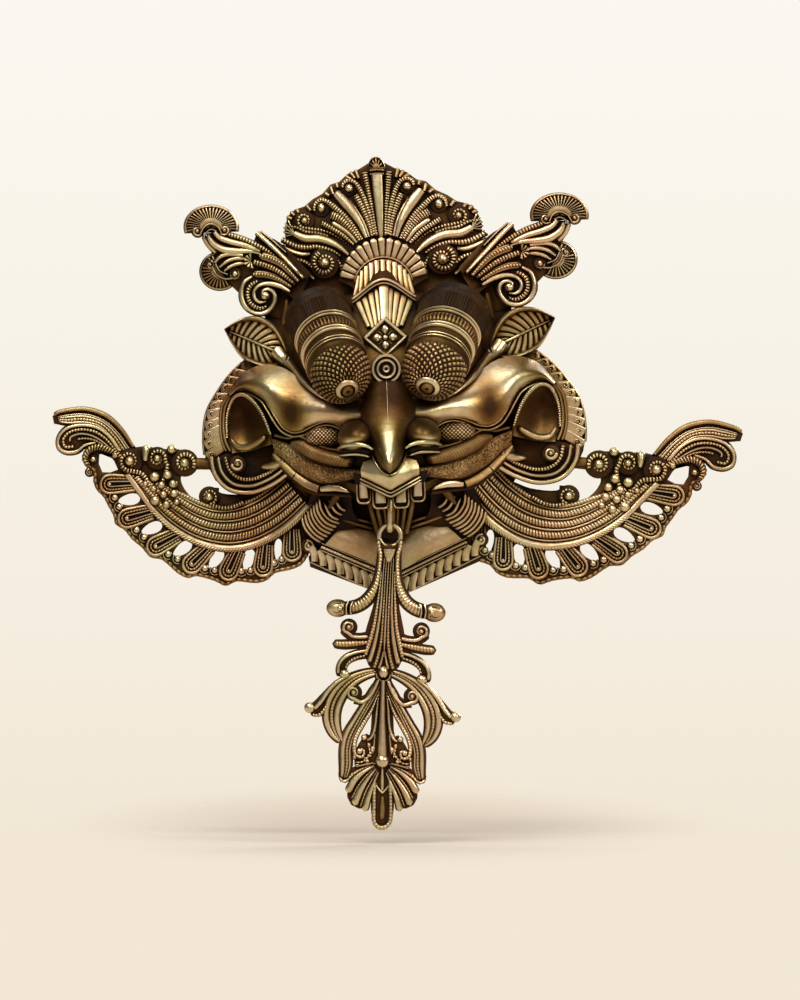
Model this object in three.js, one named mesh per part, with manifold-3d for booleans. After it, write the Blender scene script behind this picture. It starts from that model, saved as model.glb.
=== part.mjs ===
// Winged yali face for a wall, cast in brass, with a cast drop hanging from its upper lip.
// Millimetres, +Z up. The front looks along -Y and the wall is the plane y = 0.
// Places are [across, up, depth], with depth the distance out from the wall.
// Layouts are drawn for the right half, mirrored, and then set askew as the casting is.

import * as THREE from 'three';
import { mergeVertices } from 'three/addons/utils/BufferGeometryUtils.js';
import Module from 'manifold-3d';

const wasm = await Module();
wasm.setup();

// Driving sizes of the casting
const BOARD = 5;
const WALL = 5;
const WEB = 5.5;
const BURIED = 1;
const HOOK_WIRE = 3.4;
const FIT_GAP = 0.4;

// How far facets may stray when the surface is thinned, the least facet kept and the sharpest turn allowed
const SLACK = 1.1;
const SLIVER = 0.3;
const LEAST_FACET = 0.001;
const SHARPEST_TURN = 0.3;

// How far the casting is out of true
const TILT = THREE.MathUtils.degToRad(2);
const TILT_CENTRE = -97;
const AXIS_SHIFT = 1;
const CROWN_LEAN = 0.033;
const SIDE_SPREAD = 0.03;
const SPREAD_FROM = 70;
const WING_SHIFT = { out: 9.5, perOut: 0.025, perUp: 0.065 };
const WING_LIFT = { up: 10.3, perOut: -0.0625, perUp: 0.015 };

// Face dome, the swelling that carries the eyes, cheeks and muzzle
const DOME = { across: 75, out: 58, up: 92, down: 58, centre: -112 };

// Eye, a turned stack that points down and inward
const EYE = { x: 31, z: -78.4, depth: 75, ball: 19.8, length: 56 };
const EYE_AXIS = new THREE.Vector3(-0.23, -0.75, -0.62).normalize();

// Tiara, a sector of upright bars above the brow
const TIARA = { z: -21.5, outer: 32, inner: 19.7, reach: 76, bars: 15, depth: 14 };

// Crown, a fan of reeds above the tiara
const FAN = { z: -8, root: 19, reach: 61, spread: 60, reeds: 15 };

// Feathers along the wing's lower edge, each a tip, a root and one half width
const FEATHER_HALF = 6.2;
const FEATHERS = [
  { tip: [191.3, -157.5], root: [172, -155.5] }, { tip: [177.5, -180.5], root: [159, -174] },
  { tip: [156.5, -198.5], root: [140, -188.5] }, { tip: [130.7, -209.5], root: [118.3, -195.5] },
  { tip: [104.5, -213], root: [98.2, -196.5] }, { tip: [80.4, -209], root: [79.7, -191.5] },
  { tip: [61, -197.5], root: [62.3, -180] },
];

// Drop, hung by its loop on the hook under the teeth
const DROP = { x: 2.7, z: -187.6, depth: 60, lean: 0.0275, ring: 7.2, wire: 3, plate: 4.5 };
const DROP_SWAY = { from: -10, over: 170, most: 1.8, slope: 0.07 };
const DROP_BACK = DROP.depth - DROP.plate / 2;
const DROP_FACE = DROP.depth + DROP.plate / 2;

const BRASS = new THREE.MeshStandardMaterial({ color: 0xa8843f, roughness: 0.38, metalness: 1 });

// Placing functions
const clamp = THREE.MathUtils.clamp;
const lerp = THREE.MathUtils.lerp;

function headPlace(x, z) {
  const side = Math.sign(x);
  const spread = 1 + side * SIDE_SPREAD * Math.min(1, Math.abs(x) / SPREAD_FROM);
  const across = x * spread + AXIS_SHIFT - CROWN_LEAN * Math.max(z, 0);
  const up = z - TILT_CENTRE;
  return [
    across * Math.cos(TILT) - up * Math.sin(TILT),
    TILT_CENTRE + across * Math.sin(TILT) + up * Math.cos(TILT),
  ];
}

function wingPlace(x, z) {
  const side = Math.sign(x) || 1;
  const out = Math.abs(x);
  const outward = WING_SHIFT.out + WING_SHIFT.perOut * out + WING_SHIFT.perUp * z;
  const upward = WING_LIFT.up + WING_LIFT.perOut * out + WING_LIFT.perUp * z;
  return [side * out + outward, z + side * upward];
}

function dropPlace(x, z) {
  const run = clamp((DROP_SWAY.from - z) / DROP_SWAY.over, 0, 1);
  const sway = Math.sin(Math.PI * run);
  return [DROP.x + x + DROP.lean * z - DROP_SWAY.most * sway, DROP.z + z - DROP_SWAY.slope * sway * x];
}

function settle(geometry, place) {
  const position = geometry.attributes.position;
  for (let i = 0; i < position.count; i += 1) {
    const [x, z] = place(position.getX(i), position.getZ(i));
    position.setX(i, x);
    position.setZ(i, z);
  }
  return geometry;
}

function both(parts) {
  return parts.flatMap((part) => [part, part.clone().scale(-1, 1, 1)]);
}

// Solid tools
function signedVolume(points, faces) {
  let sum = 0;
  for (let f = 0; f < faces.length; f += 3) {
    const [a, b, c] = [faces[f] * 3, faces[f + 1] * 3, faces[f + 2] * 3];
    sum += points[a] * (points[b + 1] * points[c + 2] - points[b + 2] * points[c + 1]);
    sum -= points[a + 1] * (points[b] * points[c + 2] - points[b + 2] * points[c]);
    sum += points[a + 2] * (points[b] * points[c + 1] - points[b + 1] * points[c]);
  }
  return sum;
}

function toSolid(geometry) {
  const bare = geometry.clone();
  bare.deleteAttribute('normal');
  bare.deleteAttribute('uv');
  const merged = mergeVertices(bare, 1e-4);
  const points = new Float32Array(merged.attributes.position.array);
  const faces = [];
  for (let f = 0; f < merged.index.count; f += 3) {
    const [a, b, c] = [0, 1, 2].map((k) => merged.index.getX(f + k));
    if (a !== b && b !== c && c !== a) {
      faces.push(a, b, c);
    }
  }
  if (signedVolume(points, faces) < 0) {
    faces.reverse();
  }
  const mesh = new wasm.Mesh({ numProp: 3, vertProperties: points, triVerts: new Uint32Array(faces) });
  return new wasm.Manifold(mesh);
}

function joined(geometries) {
  const solids = geometries.map(toSolid);
  while (solids.length > 1) {
    solids.push(solids.shift().add(solids.shift()));
  }
  return solids[0];
}

function toGeometry(solid) {
  const mesh = solid.getMesh();
  const geometry = new THREE.BufferGeometry();
  geometry.setAttribute('position', new THREE.Float32BufferAttribute(mesh.vertProperties, 3));
  geometry.setIndex(Array.from(mesh.triVerts));
  return geometry;
}

// Fewer facets where the surface is nearly flat, by drawing a corner along an edge onto its neighbour.
// Corners on the wall plane stay on it, and the loop and its hook stay as they are.
function thinned(geometry, slack) {
  const position = geometry.attributes.position;
  const points = Array.from({ length: position.count }, (_, i) => new THREE.Vector3().fromBufferAttribute(position, i));
  const index = geometry.index.array;
  const faces = Array.from({ length: index.length / 3 }, (_, f) => [...index.slice(3 * f, 3 * f + 3)]);
  const around = points.map(() => new Set());
  faces.forEach((face, f) => face.forEach((corner) => around[corner].add(f)));
  const drift = new Float32Array(points.length);
  const loop = new THREE.Vector3(DROP.x, -DROP.depth, DROP.z);
  const fixed = points.map((point) => point.distanceTo(loop) < 2 * DROP.ring);
  const normal = (a, b, c) => new THREE.Vector3().subVectors(b, a).cross(new THREE.Vector3().subVectors(c, a));
  const neighbours = (u) => new Set([...around[u]].flatMap((f) => faces[f]).filter((corner) => corner !== u));

  const strayed = (u, v) => {
    let most = 0;
    for (const f of around[u]) {
      if (!faces[f].includes(v)) {
        const [before, after] = [u, v].map((corner) => (
          normal(...faces[f].map((n) => points[n === u ? corner : n]))
        ));
        const size = before.length();
        const sliver = size < SLIVER;
        const flips = before.dot(after) < SHARPEST_TURN * size * after.length();
        if (after.length() < LEAST_FACET || (flips && !sliver)) {
          return Infinity;
        }
        const away = Math.abs(before.dot(new THREE.Vector3().subVectors(points[v], points[u])));
        most = Math.max(most, sliver ? 0 : away / size);
      }
    }
    return most + drift[u];
  };

  const draw = (u, v) => {
    for (const f of [...around[u]]) {
      if (faces[f].includes(v)) {
        faces[f].forEach((corner) => around[corner].delete(f));
        faces[f] = null;
      } else {
        faces[f] = faces[f].map((corner) => (corner === u ? v : corner));
        around[v].add(f);
      }
    }
    around[u].clear();
  };

  let moved = true;
  while (moved) {
    moved = false;
    for (let u = 0; u < points.length; u += 1) {
      const near = fixed[u] ? new Set() : neighbours(u);
      let best = { v: -1, stray: slack };
      for (const v of near) {
        const shared = [...neighbours(v)].filter((corner) => near.has(corner));
        if (shared.length === 2 && (points[u].y < 0 || points[v].y === 0)) {
          const stray = strayed(u, v);
          best = stray < best.stray ? { v, stray } : best;
        }
      }
      if (best.v >= 0) {
        drift[best.v] = Math.max(drift[best.v], best.stray);
        draw(u, best.v);
        moved = true;
      }
    }
  }
  const lean = new THREE.BufferGeometry().setFromPoints(points);
  lean.setIndex(faces.filter(Boolean).flat());
  lean.deleteAttribute('normal');
  return mergeVertices(lean.toNonIndexed(), 1e-5);
}

// Shape tools, all in the layout frame
function vector([x, z, depth = 0]) {
  return new THREE.Vector3(x, -depth, z);
}

function arc([x, z], radius, from, to, count) {
  return Array.from({ length: count + 1 }, (_, i) => {
    const angle = THREE.MathUtils.degToRad(lerp(from, to, i / count));
    return [x + radius * Math.sin(angle), z + radius * Math.cos(angle)];
  });
}

function plate(outline, from, to, { holes = [], shrink = 1, about = [0, 0] } = {}) {
  const shape = new THREE.Shape(outline.map(([x, z]) => new THREE.Vector2(x, z)));
  shape.holes = holes.map((hole) => new THREE.Path(hole.map(([x, z]) => new THREE.Vector2(x, z))));
  const geometry = new THREE.ExtrudeGeometry(shape, { depth: to - from, bevelEnabled: false, steps: 1 });
  geometry.rotateX(Math.PI / 2);
  geometry.translate(0, -from, 0);
  const position = geometry.attributes.position;
  for (let i = 0; i < position.count; i += 1) {
    if (position.getY(i) < -(from + to) / 2) {
      position.setX(i, about[0] + (position.getX(i) - about[0]) * shrink);
      position.setZ(i, about[1] + (position.getZ(i) - about[1]) * shrink);
    }
  }
  return geometry;
}

// A patch of relief through rows of places, with a flat underside at the floor depth
function relief(lines, floor = BURIED) {
  const rows = lines.length - 1;
  const columns = lines[0].length - 1;
  const geometry = new THREE.BoxGeometry(rows, columns, 1, rows, columns, 1);
  const position = geometry.attributes.position;
  for (let i = 0; i < position.count; i += 1) {
    const line = lines[Math.round(position.getX(i) + rows / 2)];
    const [x, z, depth] = line[Math.round(position.getY(i) + columns / 2)];
    position.setXYZ(i, x, position.getZ(i) > 0 ? -depth : -floor, z);
  }
  return geometry;
}

// Reeds side by side that run between two rails, with their peaks longer than their valleys
function band(railA, railB, { ridges = 1, height = 3, steps = 4, floor = BURIED, head = 0 } = {}) {
  const [a, b] = [railA, railB].map((rail) => {
    const curve = new THREE.CatmullRomCurve3(rail.map(vector), false, 'centripetal');
    return curve.getSpacedPoints(steps);
  });
  const lines = Array.from({ length: 2 * ridges + 1 }, (_, i) => {
    const peak = i % 2;
    const line = a.map((point, k) => point.clone().lerp(b[k], i / (2 * ridges)));
    const outward = line[0].clone().sub(line[1]).normalize();
    line[0].addScaledVector(outward, head * peak);
    return line.map((p) => [p.x, p.z, -p.y + height * peak]);
  });
  return relief(lines, floor);
}

// Reeds that radiate from a centre between two radii, angles in degrees from upright
function sector([x, z], { radii, from, to, ridges, height, depth, floor = BURIED, valley = 0.92 }) {
  const count = 2 * ridges;
  const lines = Array.from({ length: count + 1 }, (_, i) => {
    const peak = i % 2;
    const angle = THREE.MathUtils.degToRad(lerp(from, to, i / count));
    const reach = typeof radii[1] === 'function' ? radii[1](i / count) : radii[1];
    return [radii[0], reach * (peak ? 1 : valley)].map((r, k) => (
      [x + r * Math.sin(angle), z + r * Math.cos(angle), depth + height * peak * (k ? 1 : 0.6)]
    ));
  });
  return relief(lines, floor);
}

// A ribbon of reeds along one line, with its rails offset to each side
function ribbon(path, width, options = {}) {
  const { ends = [1, 1] } = options;
  const curve = new THREE.CatmullRomCurve3(path.map(vector), false, 'centripetal');
  const rails = [-0.5, 0.5].map((side) => Array.from({ length: 9 }, (_, i) => {
    const t = i / 8;
    const point = curve.getPointAt(t);
    const tangent = curve.getTangentAt(t);
    const across = new THREE.Vector3(tangent.z, 0, -tangent.x).normalize();
    point.addScaledVector(across, side * width * lerp(ends[0], ends[1], t));
    return [point.x, point.z, -point.y];
  }));
  return band(rails[0], rails[1], options);
}

function strand(path, width, height, { steps = 4, sides = 4, ends = [1, 1], swell = 0 } = {}) {
  const curve = new THREE.CatmullRomCurve3(path.map(vector), false, 'centripetal');
  const geometry = new THREE.CylinderGeometry(1, 1, 1, sides, steps);
  const position = geometry.attributes.position;
  for (let i = 0; i < position.count; i += 1) {
    const t = clamp(position.getY(i) + 0.5, 0, 1);
    const point = curve.getPointAt(t);
    const tangent = curve.getTangentAt(t);
    const across = new THREE.Vector3(tangent.z, 0, -tangent.x).normalize();
    const lift = new THREE.Vector3().crossVectors(across, tangent);
    const size = lerp(ends[0], ends[1], t) + swell * Math.sin(Math.PI * t);
    point.addScaledVector(across, position.getX(i) * width * 0.5 * size);
    point.addScaledVector(lift, position.getZ(i) * height * size);
    position.setXYZ(i, point.x, point.y, point.z);
  }
  return geometry;
}

function ridge(path, width, height, steps = 4) {
  return strand(path, width * 1.15, height, { steps, sides: 3 });
}

function button([x, z, depth], radius, height, sides = 6) {
  const geometry = new THREE.CylinderGeometry(radius * 0.6, radius, height, sides);
  geometry.rotateX(Math.PI);
  geometry.translate(x, -(depth + height / 2), z);
  return geometry;
}

function knob([x, z, depth], [across, out, up], around = 6, rows = 4) {
  const geometry = new THREE.SphereGeometry(1, around, rows);
  geometry.scale(across, out, up);
  geometry.translate(x, -depth, z);
  return geometry;
}

function turned(profile, segments, centre, axis) {
  const geometry = new THREE.LatheGeometry(profile.map(([r, s]) => new THREE.Vector2(r, s)), segments);
  const spin = new THREE.Quaternion().setFromUnitVectors(new THREE.Vector3(0, 1, 0), axis);
  geometry.applyQuaternion(spin);
  geometry.translate(centre.x, centre.y, centre.z);
  return geometry;
}

function spiral([x, z, depth], from, to, turns, start, count) {
  return Array.from({ length: count + 1 }, (_, i) => {
    const t = i / count;
    const radius = lerp(from, to, t);
    const angle = start + turns * Math.PI * 2 * t;
    return [x + radius * Math.cos(angle), z + radius * Math.sin(angle), depth];
  });
}

// Backboard, the flat shield behind the whole head
const SHIELD_SIDE = [[99, -68.5], [108.5, -77], [118.6, -90], [125, -101], [127.6, -115], [127.6, -128], [126, -136]];

function backboard() {
  const right = [
    [0, 64], ...arc([0, FAN.z], FAN.reach, 7, 45, 5), [66, 22], [67, 8], [74, -4], [80, -30], [86, -50],
    ...SHIELD_SIDE, [120.6, -147], [108, -155.5], [95, -157], [82, -152], [68, -175], [57, -198], [55.6, -205],
    [0, -229],
  ];
  const left = right.slice(1, -1).reverse().map(([x, z]) => [-x, z]);
  return [plate([...right, ...left], 0, BOARD)];
}

function dome(shrink) {
  const geometry = new THREE.SphereGeometry(1, 16, 8);
  const position = geometry.attributes.position;
  for (let i = 0; i < position.count; i += 1) {
    const tall = position.getZ(i) > 0 ? DOME.up : DOME.down;
    position.setX(i, position.getX(i) * (DOME.across - shrink));
    position.setY(i, position.getY(i) * (DOME.out - shrink));
    position.setZ(i, DOME.centre + position.getZ(i) * (tall - shrink));
  }
  return geometry;
}

// Crown, its centre bar, fan of reeds, curled eyelets and the swept strands below them
function crown() {
  const reeds = sector([0, FAN.z], {
    radii: [FAN.root, FAN.reach], from: -FAN.spread, to: FAN.spread, ridges: FAN.reeds, height: 4, depth: 6,
  });
  const bar = plate([[-3, 46], [-4.4, 57], [-3, 63], [0, 67.5], [3, 63], [4.4, 57], [3, 46], [1.6, 8], [-1.6, 8]],
    0, 13, { shrink: 0.9, about: [0, 34] });
  const curls = [
    button([18.3, 46.6, BOARD], 6.4, 7), button([38.7, 35.6, BOARD], 7, 7), button([49.2, 25.6, BOARD], 6.2, 7),
    button([39.5, -3.7, BOARD], 9.4, 10, 8), button([39.5, -3.7, 15], 3.6, 3, 5),
  ];
  const swept = band([[57, 29, 7], [53, 19, 8], [44, 15, 9], [32, 9.5, 11], [20, 3, 12]],
    [[67, 24, 6], [65, 9, 6], [52, 4, 8], [40, 1, 10], [27, -6, 12]], { ridges: 3, steps: 4, height: 4, head: 4 });
  const head = plate([[56, 16], [56, 26], [58.5, 34.5], [64.5, 31], [68, 22], [66, 13]], 0, 10,
    { shrink: 0.8, about: [61, 22] });
  return [reeds, bar, ...both([...curls, swept, head])];
}

// Tiara, three tiers of bars that step forward down the brow
function tiara() {
  const crest = sector([0, TIARA.z], {
    radii: [TIARA.inner, TIARA.outer], from: -TIARA.reach, to: TIARA.reach, ridges: TIARA.bars, height: 3,
    depth: TIARA.depth, valley: 0.97,
  });
  const slope = 0.58;
  const fall = (top, x) => top - Math.abs(x) * slope;
  const across = (count, half, i) => lerp(-half, half, i / count);
  const tier = Array.from({ length: 15 }, (_, i) => {
    const angle = THREE.MathUtils.degToRad(across(14, 64, i));
    const x = across(14, 20, i);
    return [
      [TIARA.inner * Math.sin(angle), TIARA.z + TIARA.inner * Math.cos(angle), 17 + 3 * (i % 2)],
      [x, fall(-16, x), 23 + 3 * (i % 2)],
    ];
  });
  const chevron = plate([[0, -15.5], [20.5, -27.5], [19.5, -31.5], [0, -20], [-19.5, -31.5], [-20.5, -27.5]], 0, 29);
  const brow = Array.from({ length: 19 }, (_, i) => {
    const x = across(18, 18.5, i);
    return [[x, fall(-19, x), 25 + 3 * (i % 2)], [x * 0.66, -52, 41 + 3 * (i % 2)]];
  });
  const keystone = plate([[-4.6, -22], [4.6, -22], [3, -44], [-3, -44]], 0, 46, { shrink: 0.8, about: [0, -42] });
  return [crest, relief(tier), chevron, relief(brow), keystone];
}

// Diamond with four petals and, below it, the ringed boss between the eyes
function brooch() {
  const centre = -56;
  const diamond = [[14, -55.8], [0, -43.6], [-14, -55.8], [0, -68.4]];
  const inner = diamond.map(([x, z]) => [x * 0.74, centre + (z - centre) * 0.74]);
  const petals = [0, 1, 2, 3].map((i) => {
    const petal = knob([0, 5.2, 46.5], [2.7, 3.6, 3.4], 4, 2);
    return petal.rotateY((i * Math.PI) / 2).translate(0, 0, centre);
  });
  const boss = turned([[0, 58.5], [3.4, 57], [5.6, 60], [7.4, 56.5], [9.8, 59], [10, 40], [0, 40]], 10,
    new THREE.Vector3(0, 0, -77), new THREE.Vector3(0, -1, 0));
  return [plate(diamond, 34, 49, { holes: [inner] }), plate(inner, 34, 46.5), ...petals, boss];
}

// Eye stack, from the ringed pupil and the ball at the front to the ribbed hood at the back
function eyes() {
  const { ball, length } = EYE;
  const profile = [
    [0, ball + 0.4], [7.6, ball - 0.6], [8.4, ball - 2.6], [15.4, ball - 7.2], [ball, 0],
    [ball - 0.4, -9.5], [ball + 1.4, -12], [ball + 1.4, -16], [ball - 0.6, -18], [ball - 0.2, -25],
    [ball + 1.8, -27], [ball + 1.8, -31.5], [ball + 0.8, -33], [ball + 1, -48],
    [ball + 3, -length], [ball + 1, -length - 2], [ball + 5, -length - 12], [0, -length - 12],
  ];
  return both([turned(profile, 12, vector([EYE.x, EYE.z, EYE.depth]), EYE_AXIS)]);
}

// Horns, each a slotted fan on a neck, a lower fan, four reeds and the big volute
function horns() {
  const fan = sector([115, 19], { radii: [3, 19.6], from: -95, to: 100, ridges: 7, height: 2.5, depth: 7 });
  const lower = sector([109, -7], {
    radii: [4, (t) => lerp(14, 18, t)], from: 15, to: 222, ridges: 5, height: 2.5, depth: 6,
  });
  const neck = band([[120, 24, 6], [108, 16.5, 7], [95, 12.5, 9], [76, 13, 10]],
    [[112, 14, 6], [106, 7.5, 6], [95, 2.5, 8], [78, -2, 9]], { ridges: 2, steps: 3, height: 3.5 });
  const lowerNeck = band([[84, 9, 7], [98, 7, 7], [110, 1, 7], [116, -6, 6]],
    [[84, -2, 7], [94, -2, 7], [101, -7, 7], [102, -14, 6]], { ridges: 1, steps: 3, height: 4 });
  const reeds = band([[82, 22, 7], [67.5, 5, 12], [52, -13, 24]], [[90, -12, 7], [75, -19, 12], [64, -27, 20]],
    { ridges: 4, steps: 3, height: 4, head: 4 });
  const volute = [
    button([82, -23.8, 0], 16.4, 11, 10),
    ridge(spiral([82, -23.8, 10], 12.6, 3.6, 1.5, 2.2, 12), 4.8, 4, 11),
    button([82, -23.8, 10], 4.4, 5, 5),
  ];
  const strap = strand([[67, -27, 10], [67.7, -36, 11], [70, -45, 8]], 5, 4, { steps: 2 });
  const beads = [
    button([123.6, 22.4, 7], 4.8, 4.5, 5), button([104.2, 22.8, 7], 5.2, 4.5, 5), button([116.2, -3.7, 6], 4, 4.5, 5),
    button([100, -11.4, 6], 4.2, 4.5, 5), button([89.5, 1.9, 6], 4.2, 7, 5),
  ];
  const web = plate([[58, 12], [84, 12], [114, 20], [102, 0], [106, -14], [84, -38], [66, -42]], 0, 6);
  return both([fan, lower, neck, lowerNeck, reeds, ...volute, strap, ...beads, web]);
}

// Ears, cupped leaves with a rim, a midrib and slanting veins, on a stem that runs under the eye
function ears() {
  const edges = [
    [[111, -45.6], [97.2, -38.6], [85.8, -37.8], [76, -43.6], [70.4, -52.6], [68, -63]],
    [[111, -45.6], [106.4, -55.6], [100.8, -63.4], [92, -70.4], [82, -73], [68, -63]],
  ];
  const midrib = new THREE.LineCurve3(vector([107, -47.5]), vector([74, -61.5]));
  const leaves = edges.map((points) => {
    const edge = new THREE.CatmullRomCurve3(points.map(vector), false, 'centripetal');
    const veins = 8;
    return relief(Array.from({ length: veins + 1 }, (_, i) => {
      const rim = edge.getPointAt(i / veins);
      const root = midrib.getPointAt(clamp((i + 0.6) / veins, 0, 1));
      const inner = root.clone().lerp(rim, 0.78);
      const lip = root.clone().lerp(rim, 0.84);
      const rise = 2.4 * (i % 2);
      return [[root.x, root.z, 10], [inner.x, inner.z, 7 + rise], [lip.x, lip.z, 15.5], [rim.x, rim.z, 13]];
    }));
  });
  const stem = strand([[72, -65, 15], [64.7, -71, 22], [56, -83.8, 42], [43, -94.8, 58]], 6, 5,
    { steps: 4, sides: 5, ends: [1.4, 0.4] });
  return both([...leaves, stem]);
}

// Cheeks, each a broad smooth swelling that rolls round the pricked opening, with a corded rim
function cheeks() {
  const top = [[110, -88, 8], [99, -76, 14], [86, -71, 22], [72, -73, 30], [58, -82, 40], [44, -90, 48],
    [28, -95, 54], [8, -96, 58]];
  const rim = [[109, -96, 10], [99, -88.5, 22], [86, -94, 34], [79, -106, 40], [73, -115, 42], [63, -120, 44],
    [52, -116.5, 50], [42, -113, 54], [31, -117, 60], [12, -120, 66]];
  const steps = 8;
  const [upper, lower] = [top, rim].map((rail) => (
    new THREE.CatmullRomCurve3(rail.map(vector), false, 'centripetal').getSpacedPoints(steps)
  ));
  const fullness = 9;
  const swelling = [0, 0.3, 0.7, 1].map((t) => upper.map((point, k) => {
    const p = point.clone().lerp(lower[k], t);
    return [p.x, p.z, -p.y + fullness * Math.sin(Math.PI * t)];
  }));
  const cord = ridge(rim.map(([x, z, depth]) => [x, z, depth - 1]), 5.6, 4.4, 8);
  const lens = knob([42.5, -121.5, 48], [12, 6, 7], 6, 4);
  return both([relief(swelling), cord, lens]);
}

// Strands that curl round below the cheek opening, and its lip
function cheekCurls() {
  const curls = band([[110, -131, 14], [110, -139, 14], [104, -144, 14], [95, -144.5, 16], [82, -139, 22], [72, -133, 30]],
    [[126, -130, 6], [122, -146, 7], [109, -155, 8], [95.8, -156, 9], [81, -150, 14], [68, -143, 22]],
    { ridges: 3, steps: 5, height: 3.5 });
  const bulb = [button([104.9, -135.6, BOARD], 7.4, 13), button([104.9, -135.6, 17], 3.4, 4, 5)];
  const lip = strand([[85, -125, 13], [93, -129, 15], [103, -128.5, 12], [109, -121, 9]], 8, 7,
    { steps: 3, sides: 5, ends: [0.8, 0.5], swell: 0.4 });
  const wall = ridge([[108, -92, 9], [113, -105, 9], [114, -118, 9], [113, -131, 9]], 6, 6, 3);
  const shelf = plate([[60, -122], [86, -126], [121, -133], [116, -148], [95, -153], [70, -148], [58, -138]], 0, 9);
  return both([curls, ...bulb, lip, wall, shelf]);
}

// Muzzle, with the stippled bands, slugs and mouldings that sweep from the cheeks to the lip
function muzzle() {
  const body = knob([0, -134, 36], [44, 38, 23], 12, 6);
  const jaw = band([[78, -119, 26], [66, -127, 36], [52, -134, 47], [38, -140, 57], [20, -143, 68]],
    [[79, -129, 20], [66, -140, 29], [50, -150, 42], [36, -154, 52], [20, -155, 62]],
    { ridges: 1, height: 2.5, steps: 4 });
  const slug = strand([[65, -121.5, 36], [53, -127, 48], [42, -132, 58], [29, -136, 67]], 8.4, 7,
    { steps: 3, sides: 5, ends: [0.45, 0.9], swell: 0.4 });
  const moulding = ridge([[78, -133, 18], [66, -143, 28], [47, -153.5, 44], [27, -157.5, 60]], 4.6, 5, 4);
  return [body, ...both([jaw, slug, moulding])];
}

// Nose, a hooked beak with a sharp bridge, and its ball-shaped wings with their nostril rims
function nose() {
  const stations = [
    { z: -83, half: 3, depth: 56, fall: 4 }, { z: -92, half: 12, depth: 67, fall: 8 },
    { z: -104, half: 17, depth: 79, fall: 14 }, { z: -116, half: 16.5, depth: 91, fall: 22 },
    { z: -128, half: 13.5, depth: 103, fall: 30 }, { z: -139, half: 10, depth: 110, fall: 34 },
    { z: -145.5, half: 4.5, depth: 106, fall: 26 },
  ];
  const lines = [-1, -0.8, -0.4, 0, 0.4, 0.8, 1].map((s) => stations.map(({ z, half, depth, fall }) => (
    [half * s, z + Math.abs(s) * 1.5, depth - fall * (1 - Math.sqrt(1 - s * s))]
  )));
  const wing = knob([21.5, -124, 70], [12.4, 24, 12], 9, 6);
  const rim = ridge([[32, -131, 74], [26, -128, 88], [17, -129, 92], [11, -134, 90]], 3.6, 3.4, 3);
  return [relief(lines, 30), ...both([wing, rim])];
}

// Upper lip with its moulded edge, the four teeth, and the hook that carries the drop
function mouth() {
  const lip = plate([[-19, -139], [-19.5, -147.4], [0, -159.5], [19.5, -147.4], [19, -139], [0, -132]], 46, 86,
    { shrink: 0.94, about: [0, -146] });
  const edge = both([ridge([[20, -149, 78], [10, -155.5, 84], [0, -161, 86]], 3.6, 4, 1)]);
  const teeth = both([
    plate([[12.6, -152], [20, -150], [24.5, -162], [21, -166], [14, -165]], 54, 76),
    plate([[0.8, -155], [10.6, -154], [12, -167], [8, -170], [1.6, -170]], 54, 80),
  ]);
  const gum = plate([[-25, -146], [25, -146], [21, -160], [0, -166], [-21, -160]], 14, 73);
  const tusk = strand([[35, -153, 40], [36, -162, 42], [38, -170, 40]], 8, 5, { steps: 2, ends: [1, 0.3] });
  return [lip, gum, ...edge, ...teeth, ...both([tusk])];
}

function hook() {
  const radius = HOOK_WIRE / 2;
  const front = DROP.depth + DROP.wire / 2 + FIT_GAP + radius;
  const back = DROP.depth - DROP.wire / 2 - FIT_GAP - radius;
  const low = DROP.ring - DROP.wire / 2 - FIT_GAP - radius;
  const bend = (front - back) / 2;
  const reach = (up, depth) => [DROP.x, DROP.z + up, depth];
  const turn = [0, 1, 2, 3, 4].map((i) => {
    const angle = (i / 4) * Math.PI;
    return reach(low + bend * (1 - Math.sin(angle)), DROP.depth + bend * Math.cos(angle));
  });
  const path = [reach(26, front + 1), reach(16, front), ...turn, reach(low + bend + 3, back)];
  const section = new THREE.Shape();
  section.absarc(0, 0, radius, 0, Math.PI * 2);
  const round = new THREE.Shape(section.getSpacedPoints(6).slice(0, 6));
  const curve = new THREE.CatmullRomCurve3(path.map(vector));
  return new THREE.ExtrudeGeometry(round, { extrudePath: curve, steps: 11, bevelEnabled: false });
}

// Chin, with its panel, mouldings, fluted border, tongue, beard fans and eyelets
function chin() {
  const panel = plate([[46, -191], [30, -176], [-30, -176], [-46, -191], [0, -214.5]], 0, 15,
    { shrink: 0.92, about: [0, -190] });
  const tongue = plate([[-13.4, -158], [-13, -174], [-8, -186], [0, -190], [8, -186], [13, -174], [13.4, -158]], 0, 28,
    { shrink: 0.86, about: [0, -170] });
  const floor = plate([[-44, -150], [44, -150], [50, -178], [46, -191], [-46, -191], [-50, -178]], 0, 12);
  const moulding = ridge([[50, -191.5, 9], [0, -215.5, 11]], 5, 5, 1);
  const border = relief(Array.from({ length: 15 }, (_, i) => {
    const t = i / 14;
    const rise = 3 * (i % 2);
    return [[lerp(54, 0, t), lerp(-193, -218, t), 6 + rise], [lerp(56, 0, t), lerp(-204, -228.5, t), 5 + rise * 0.7]];
  }));
  const beard = band([[27, -160, 30], [31, -171, 26], [27, -180, 19]], [[46, -155, 24], [57, -173, 17], [50, -193, 8]],
    { ridges: 4, steps: 3, height: 3.5 });
  const eyelet = button([52, -190, BOARD], 4.4, 6, 5);
  return [panel, tongue, floor, ...both([moulding, border, beard, eyelet])];
}

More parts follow.
